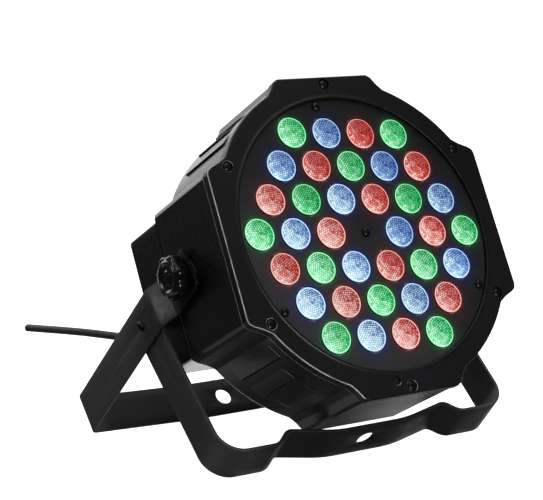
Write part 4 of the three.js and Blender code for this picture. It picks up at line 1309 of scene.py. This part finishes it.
DIGIT_PITCH, DIGIT_W, DIGIT_H = 7.0, 3.7, 4.2  # DIGIT_H is half the figure
SEGMENTS = {"0": "abcdef", "1": "bc"}
# (x, y, lies flat) of each segment from the middle of its figure
SEGMENT_AT = {"a": (0, DIGIT_H, 1), "d": (0, -DIGIT_H, 1),
              "f": (DIGIT_W / 2, DIGIT_H / 2, 0), "e": (DIGIT_W / 2, -DIGIT_H / 2, 0),
              "b": (-DIGIT_W / 2, DIGIT_H / 2, 0), "c": (-DIGIT_W / 2, -DIGIT_H / 2, 0)}


def segment_outline(cx, cy, length, flat):
    h, w = length / 2, 0.95 / 2
    points = [(-h, 0), (-h + w, w), (h - w, w), (h, 0), (h - w, -w), (-h + w, -w)]
    if not flat:
        points = [(y, x) for x, y in points][::-1]
    return [(cx + x, cy + y) for x, y in points]


parts = []
for i, figure in enumerate("0011"):
    # seen from the back, so the first figure is at +x
    figure_x = DISPLAY[0] + 1.5 * DIGIT_PITCH - DIGIT_PITCH * i
    for name in SEGMENTS[figure]:
        dx, dy, flat = SEGMENT_AT[name]
        outline = segment_outline(figure_x + dx, DISPLAY[1] + dy,
                                  (DIGIT_W if flat else DIGIT_H) - 0.3, flat)
        slanted = [(x + 0.08 * (y - DISPLAY[1]), y) for x, y in outline]
        parts.append(tool([level(slanted, BACK_Z + 2.55), level(slanted, BACK_Z + 3.2)]))
segments = join(parts)
segments.name = "display_segments"
piece(segments, "head", "display_red", "display_module", look=MAT["digits"])
piece(display, "head", "display_red", "display_module")

BUTTON = from_back([(0.02, -1.62), (2.0, -1.58), (3.0, -1.35), (3.0, 2.8), (4.6, 2.8), (4.6, 3.6),
                    (1.5, 3.6), (1.5, 6.9), (0.02, 6.9)])
BUTTON_TRIMS = [0, 0.6, 0.35, 0.1, 0.2, 0.2, 0.2, 0.3, 0]
THUMB_DISH = from_back([(0.03, -1.36), (1.1, -1.42), (1.9, -1.62), (1.9, -3), (0.03, -3)])
for name, x in BUTTON_X.items():
    button = turned("button_%s_cap" % name, round_path(BUTTON, BUTTON_TRIMS), 36, x, BUTTON_Y)
    cut(button, turned("tool", THUMB_DISH, 28, x, BUTTON_Y))
    piece(button, "button_" + name, "button_black", "button_" + name, smooth=34)

MIC_PROFILE = from_back([(0.02, 0.4), (1.2, 0.4), (1.3, 0.8), (1.5, 0.8), (1.6, 0.4), (2.1, 0.4),
                         (2.1, 2.7), (3.2, 2.7), (3.2, 9.7), (0.02, 9.7)])
mic = turned("microphone_capsule", round_path(MIC_PROFILE, 0.12), 32, *MIC)
piece(mic, "head", "steel", "microphone")

SOCKET = [(9.6, -1.5), (9.9, -1.95), (10.4, -2), (12.4, -2), (13.2, -1.75), (13.6, -1.2),
          (13.6, -0.35), (11.8, -0.3), (11.8, 19.4), (11.2, 20), (0.02, 20)]
PIN = from_back([(0.02, 1.0), (0.5, 1.1), (0.95, 1.6), (1.15, 2.4), (1.2, 12.3), (0.02, 12.3)])
RIM_Z = BACK_Z - 2.0


def dmx_socket(way, cx, cy):
    """Round socket: the input holds three pins, the output has a face with holes."""
    female = way == "out"
    floor = 0.5 if female else 12.0
    profile = from_back([(0.02, floor), (9.3, floor), (9.6, floor - 0.3)] + SOCKET)
    shell = turned("data_%s_socket_shell" % way, profile, 64, cx, cy)
    pins = [polar(4.8, a * DEG, cx, cy) for a in (90, 210, 330)]
    if female:
        cut(shell, *[cylinder(1.5, RIM_Z - 1, BACK_Z + 12, 24, x, y) for x, y in pins])
        cut(shell, cylinder(1.0, RIM_Z - 1, BACK_Z + 3, 16, cx, cy - 7.6))
    # keyway in the rim
    keyway = rounded_rect(cx, cy + 9.7, 3.2, 1.8, 0.4)
    cut(shell, tool([level(keyway, RIM_Z - 1), level(keyway, RIM_Z + 6)]))
    part = "dmx_%s_connector" % way
    piece(shell, "head", "connector_black", part, smooth=34)
    if not female:
        contacts = join([turned("tool", PIN, 20, x, y) for x, y in pins])
        contacts.name = "data_in_pins"
        piece(contacts, "head", "steel", part, look=MAT["contact"])


dmx_socket("in", *DMX_IN)
dmx_socket("out", *DMX_OUT)

GLAND_PROFILE = from_back([
    (2.95, 8), (6.0, 8), (6.0, -0.4), (8.2, -0.35), (8.5, -0.7), (8.5, -3.2), (8.1, -3.6),
    (7.3, -3.8), (7.1, -4.4), (7.2, -5.0), (7.0, -5.6), (7.2, -6.2), (7.0, -6.8), (7.15, -7.4),
    (6.8, -8.2), (5.2, -9.9), (4.6, -10.4), (3.6, -10.5), (3.0, -10.2), (2.95, -9.6), (2.95, 8)])
gland = turned("cable_gland_body", GLAND_PROFILE, 48, *GLAND)
flats = [block("tool", 10.9, 0, 6, 16, 0.2, BACK_Z - 3.9, BACK_Z - 1.0, 0.05,
               HEAD @ shift(*GLAND) @ turn(k * 60 + 30, "Z")) for k in range(6)]
for flat in flats:
    cut(gland, flat)
piece(gland, "head", "connector_black", "cable_gland", smooth=34)

# ---------------------------------------------------------------- knobs
KNOB_SIDES = 126
# (radius, z) of the bore and collar, (growth, z) of the lobed grip, (radius, z) of the cap
KNOB_COLLAR = ((3.4, 7.4), (3.4, 0.3), (3.7, 0.0), (8.6, 0.0), (9.0, 0.35), (9.0, 2.0), (9.4, 2.3))
KNOB_GRIP = ((-1.2, 2.3), (-0.55, 2.45), (-0.15, 2.85), (0, 3.4), (0, 7.5), (-0.15, 8.1),
             (-0.6, 8.6), (-1.25, 8.85))
KNOB_CAP = ((10.0, 8.85), (9.65, 8.95), (9.45, 9.25), (9.1, 9.65), (8.6, 9.8), (8.0, 9.75),
            (7.6, 9.4), (7.2, 9.0), (6.0, 8.85), (4.2, 8.9), (3.8, 9.15), (3.3, 9.3), (1.2, 9.38),
            (0.05, 9.4))


def lobed(grow, z):
    """Ring with seven lobes."""
    angles = [2 * math.pi * i / KNOB_SIDES for i in range(KNOB_SIDES)]
    return level([polar(12.6 - 1.5 * (0.5 - 0.5 * math.cos(7 * a)) ** 1.6 + grow, a)
                  for a in angles], z)


def stud_profile():
    """Stud with a rolled thread."""
    z = -13.4
    profile = [(0.02, -14.0), (2.2, -14.0), (2.6, z)]
    while z < 5.0:
        profile += [(2.45, z + 0.5), (2.9, z + 1.0)]
        z += 1.0
    return profile + [(2.9, 6.9), (0.02, 7.0)]


for side, sign in (("left", -1), ("right", 1)):
    base = side_frame(96.0 * sign, sign)
    rings = [circle(r, z, KNOB_SIDES) for r, z in KNOB_COLLAR]
    rings += [lobed(grow, z) for grow, z in KNOB_GRIP]
    rings += [circle(r, z, KNOB_SIDES) for r, z in KNOB_CAP]
    knob = build("knob_%s_grip" % side, loft(rings), base)
    piece(knob, "knob_" + side, "knob_black", "knob_" + side, smooth=50)
    stud = turned("knob_stud_%s_thread" % side, stud_profile(), 28, base=base)
    piece(stud, "knob_" + side, "steel", "knob_stud_" + side, smooth=50)


# ---------------------------------------------------------------- strips
def strip_section(half):
    """(distance from the inner face, z) round the section; half is half the width."""
    e = min(0.45, half * 0.4)
    near, thick = e * 0.3, STRIP_THICK
    return ((0.0, -half + e), (near, -half + near), (e, -half), (thick - e, -half),
            (thick - near, -half + near), (thick, -half + e), (thick, -half * 0.5), (thick, 0.0),
            (thick, half * 0.5), (thick, half - e), (thick - near, half - near),
            (thick - e, half), (e, half), (near, half - near), (0.0, half - e),
            (0.0, half * 0.5), (0.0, 0.0), (0.0, -half * 0.5))


def strip(name, half_path, trims, base, tab=None):
    """Bent strip from the +x half of its inner-face path (x, y). The arm ends are round
    about y = 0, or straight at y = -tab with small round corners."""
    half, corner_r = STRIP_WIDTH / 2, 3.5
    path = round_path(half_path + [(-x, y) for x, y in reversed(half_path)],
                      trims + trims[::-1], share=0.49, steps=7)
    if tab:
        end = [-tab + corner_r * (1 - math.cos(a * DEG))
               for a in (0, 12, 24, 36, 48, 60, 70, 80, 90)]
    else:
        end = [-half * math.cos(a * DEG) for a in (3, 8, 14, 20, 27, 34, 42, 50, 58, 66, 74, 82)]
    arm_x = half_path[0][0]
    end = [(arm_x, y) for y in end + [0.0]]
    path = end + path[1:-1] + [(-x, y) for x, y in reversed(end)]
    edges = [(q[0] - p[0], q[1] - p[1]) for p, q in zip(path, path[1:])]
    rings = []
    for (x, y), before, after in zip(path, edges[:1] + edges, edges + edges[-1:]):
        nx, ny, divisor = miter(before, after)
        k = 1 / divisor
        nx, ny = nx * k, ny * k
        if tab:
            inset = max(0.0, corner_r - (y + tab))
            width = half - corner_r + math.sqrt(max(0.0, corner_r ** 2 - inset ** 2))
        else:
            width = math.sqrt(max(0.3, half ** 2 - y ** 2)) if y < 0 else half
        rings.append([(x + nx * t, y + ny * t, z) for t, z in strip_section(width)])
    return build(name, loft(rings), base)


def arm_hole(radius, y, base):
    """Hole along x through both arms."""
    return tool([[(x, u, v) for u, v, _ in circle(radius, 0, 28, y)] for x in (-112, 112)], base)


def bar_hole(y0, y1, base):
    """Hole along y through the crossbar."""
    return tool([[(u, y, v) for u, v, _ in circle(BAR_HOLE_R, 0, 48)] for y in (y0, y1)], base)


YOKE_PATH = [(93.6, -half_width), (93.6, 20.0), (YOKE_ARM_X, 31.0), (YOKE_ARM_X, 148.18),
             (28.0, YOKE_REACH)]
yoke = strip("yoke_strip", YOKE_PATH, [0, 1.0, 1.0, 3.4, 14], YOKE, tab=10.7)
cut(yoke, arm_hole(STRIP_HOLE_R, 0.0, YOKE))
cut(yoke, arm_hole(PIN_HOLE_R, STAND_PIN_Y, YOKE))
cut(yoke, bar_hole(140, 170, YOKE))
bevel(yoke, 0.22, 60)
piece(yoke, "yoke", "strip_black", "main_yoke", smooth=30)

BEND_R = 14
STAND_PATH = [(STAND_ARM_X, -half_width)]
STAND_PATH += [polar(BEND_R, i * 7.5 * DEG, STAND_ARM_X - BEND_R, STAND_REACH - BEND_R)
               for i in range(13)]
STAND_PATH += [(65.0, STAND_REACH), (61.5, 96.9), (56.5, 92.2), (53.0, 91.2), (24.0, 97.2)]
stand = strip("stand_strip", STAND_PATH, [0] * 14 + [2.2, 1.8, 2.4, 2.4, 8], STAND)
cut(stand, arm_hole(PIN_HOLE_R, 0.0, STAND))
cut(stand, bar_hole(88, 120, STAND))
bevel(stand, 0.22, 60)
piece(stand, "stand", "strip_black", "front_stand", smooth=30,
      look=plastic("powder_coat_black_stand", paint_light=stand_painted_light, **COAT))

# stand pivots: domed screws outside the arms, hex nuts inside
# (z, share of the full size)
NUT_RINGS = ((-7.2, 0.90), (-7.0, 0.985), (-6.8, 1.0), (-5.1, 1.0), (-4.8, 0.985), (-4.65, 0.9))
hexagon = densify([polar(4.0, 60 * k * DEG) for k in range(6)], 1.4)
for side, sign in (("left", -1), ("right", 1)):
    base = YOKE @ shift(sign * (YOKE_ARM_X + STRIP_THICK), STAND_PIN_Y) @ turn(sign * 90, "Y")
    screw = screw_mesh("stand_pivot_%s_screw" % side,
                       head_r=2.9, head_h=1.7, shank_r=1.9, length=7.0)
    screw.matrix_world = base @ shift(0, 0, 0.25) @ turn(20, "Z")
    piece(screw, "yoke", "screw_black", "stand_pivot_screw_" + side, smooth=30)
    rings = [[(x * share, y * share, z) for x, y in hexagon] for z, share in NUT_RINGS]
    nut = build("stand_pivot_%s_nut" % side, loft(rings), base)
    cut(nut, cylinder(2.15, -9, -3, 24, base=base))
    piece(nut, "yoke", "steel", "stand_pivot_nut_" + side, smooth=34)

# ---------------------------------------------------------------- mains cord
CORD_R = 2.5
HINGE = Vector(joints["cord_flex"]["pos_m"])
# mm from the hinge, along the world axes
CORD_TAIL = [(-0.8, 7.0, -2.2), (-3, 20, -2.6), (-11, 70, -6.2), (-20, 120, -7.8),
             (-29, 180, -11.4)]


def in_gland(depth):
    """World point on the gland axis, depth inside the back face."""
    return HEAD @ Vector((GLAND[0] * MM, GLAND[1] * MM, (BACK_Z + depth) * MM))


def catmull(points, steps=14):
    """Centripetal Catmull-Rom curve through the points."""
    out = []
    padded = [points[0] * 2 - points[1]] + points + [points[-1] * 2 - points[-2]]
    for p0, p1, p2, p3 in zip(padded, padded[1:], padded[2:], padded[3:]):
        d01, d12, d23 = (max(1e-6, (b - a).length ** 0.5)
                         for a, b in ((p0, p1), (p1, p2), (p2, p3)))
        m1 = ((p1 - p0) / d01 - (p2 - p0) / (d01 + d12) + (p2 - p1) / d12) * d12
        m2 = ((p2 - p1) / d12 - (p3 - p1) / (d12 + d23) + (p3 - p2) / d23) * d12
        for k in range(steps):
            u = k / steps
            out.append((2 * u ** 3 - 3 * u ** 2 + 1) * p1 + (u ** 3 - 2 * u ** 2 + u) * m1
                       + (-2 * u ** 3 + 3 * u ** 2) * p2 + (u ** 3 - u ** 2) * m2)
    out.append(points[-1])
    return out


line = catmull([in_gland(depth) for depth in (16, 2, -8, -13.5)]
               + [HINGE + Vector(point) * MM for point in CORD_TAIL])
rings, up = [], Vector((1, 0, 0))
for i, p in enumerate(line):
    along = (line[min(i + 1, len(line) - 1)] - line[max(0, i - 1)]).normalized()
    across = along.cross(up).normalized()
    up = across.cross(along).normalized()
    rings.append([tuple((p + (math.cos(a) * up + math.sin(a) * across) * CORD_R * MM) / MM)
                  for a in (2 * math.pi * k / 20 for k in range(20))])
cord = build("mains_cord", loft(rings), Matrix.Identity(4))
piece(cord, None, "cord_black", "power_cord_end", "power_cord", smooth=60)
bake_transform(cord)

# ------------------------------------------------ CAD nodes that stay shown
slot_of = {part["node"]: part["material_slot"] for part in packed["record"]["subparts"]}
for name, obj in packed["nodes"].items():
    if obj.hide_render:
        continue
    obj.data.materials.clear()
    obj.data.materials.append(MAT[slot_of[name]])


# ---------------------------------------------------------------- stage
def floor_material():
    N = material("studio_floor_pale")
    col = N.mix(N.noise(3), (0.88, 0.88, 0.88), (0.91, 0.91, 0.91))
    diffuse = N.node("ShaderNodeBsdfDiffuse", {"Color": col})
    glow = N.node("ShaderNodeEmission", {"Color": (1, 1, 1), "Strength": 1.0})
    return N.finish(N.node("ShaderNodeAddShader", {0: diffuse, 1: glow}))


bpy.ops.mesh.primitive_plane_add(size=12, location=(0, 0, -0.0002))
floor = bpy.context.object
floor.name = "studio_floor"
floor.data.materials.append(floor_material())
floor.visible_glossy = False
floor.visible_diffuse = False
floor.visible_transmission = False


def build_world():
    """White to the camera; soft patches of light, by direction, to everything else."""
    world = bpy.data.worlds.new("studio")
    scene.world = world
    W = Shader(world, "World", "Generated")
    x, y, z = W.axes()
    # a wide patch at the back right, dimmed where it is nearly straight back
    back = x.ease(-0.14, 0.44) * y.ease(0.25, 0.6) * z.ease(-0.78, -0.50)
    dimmed = x.ease(0.24, 0.44) * y.ease(0.78, 0.86)
    back = back * (1.0 - dimmed * 0.66)
    strength = 0.05 + back * 2.3
    # a patch low at the back left, and light from above
    low = x.ease(-0.80, -0.50) * x.ease(-0.42, -0.20, to=FALL) * z.ease(-0.62, -0.40, to=FALL)
    strength = strength + low * y.ease(0.1, 0.4) * 0.60
    strength = strength + z.ease(0.45, 1.0) * 0.30
    lit, seen = (W.node("ShaderNodeBackground", {"Color": (1, 1, 1), "Strength": value})
                 for value in (strength, 1.05))
    camera_ray = W.node("ShaderNodeLightPath", {}, "Is Camera Ray")
    W.finish(W.node("ShaderNodeMixShader", {0: camera_ray, 1: lit, 2: seen}))


build_world()
LIGHT_TARGET = Vector((0, -0.09, 0.11))


def softbox(name, direction, distance, size, power):
    """Square area light, in metres and watts, aimed at the lamp."""
    light = bpy.data.lights.new(name, "AREA")
    light.shape, light.size, light.size_y, light.energy = "RECTANGLE", size, size, power
    obj = bpy.data.objects.new(name, light)
    scene.collection.objects.link(obj)
    direction = Vector(direction).normalized()
    obj.location = LIGHT_TARGET + direction * distance
    obj.rotation_mode = "QUATERNION"
    obj.rotation_quaternion = direction.to_track_quat("Z", "Y")
    obj.visible_camera = False


softbox("key_front_low", (-0.06, -0.98, 0.10), distance=1.3, size=0.42, power=9.0)
softbox("side_left", (-0.90, 0.24, 0.37), distance=1.2, size=0.40, power=2.6)
softbox("top_fill", (0.2, -0.35, 1.0), distance=1.5, size=1.1, power=5.0)
softbox("rear_fill", (-0.3, 1.0, 0.35), distance=1.6, size=0.8, power=4.0)


def flag_material():
    """Emission that grows from left to right across the card."""
    N = material("studio_flag_cloth")
    x, y, _ = N.axes()
    along = x * 0.752 - y * 0.659
    return N.finish(N.node("ShaderNodeEmission", {
        "Color": N.mix(N.noise(8), (0.9, 0.9, 0.9), (1.0, 1.0, 1.0)),
        "Strength": along.ease(0.050, 0.112, to=(0.04, 0.56))}))


# a dark card below floor level that only reflections meet
FLAG_W, FLAG_H = 0.17, 0.15
flag_centre = Vector((0.165, 0.045, -0.095))
flag_normal = Vector((-0.584, -0.667, 0.463)).normalized()
flag_x = Vector((0, 0, 1)).cross(flag_normal).normalized()
flag_y = flag_normal.cross(flag_x)
mesh = bpy.data.meshes.new("studio_flag")
mesh.from_pydata([flag_centre + flag_x * (a * FLAG_W / 2) + flag_y * (b * FLAG_H / 2)
                  for a, b in ((-1, -1), (1, -1), (1, 1), (-1, 1))], [], [(0, 1, 2, 3)])
flag = place("studio_flag", mesh, Matrix.Identity(4))
mesh.materials.append(flag_material())
flag.visible_camera = flag.visible_diffuse = False
flag.visible_shadow = flag.visible_transmission = False

# ---------------------------------------------------------------- camera
# place and directions are in the head frame
CAMERA_AT = Vector((-573.70, -229.45, 757.20))
CAMERA_RIGHT = Vector((0.8351, -0.2615, 0.4840))
CAMERA_FORWARD = Vector((0.5419, 0.2397, -0.8055))

camera = bpy.data.cameras.new("camera")
camera.sensor_fit, camera.sensor_width = "HORIZONTAL", 36.0
camera.lens = 116.287293
camera.clip_start, camera.clip_end = 0.05, 50.0
camera_object = bpy.data.objects.new("camera", camera)
scene.collection.objects.link(camera_object)
head_turn = HEAD.to_3x3()
right = (head_turn @ CAMERA_RIGHT).normalized()
forward = (head_turn @ CAMERA_FORWARD).normalized()
right = (right - forward * right.dot(forward)).normalized()
camera_object.matrix_world = basis(HEAD @ (CAMERA_AT * MM), right, right.cross(forward), -forward)
scene.camera = camera_object

scene.view_settings.view_transform = "Standard"
scene.view_settings.look = "None"
scene.view_settings.exposure = 0.0
scene.view_settings.gamma = 1.0
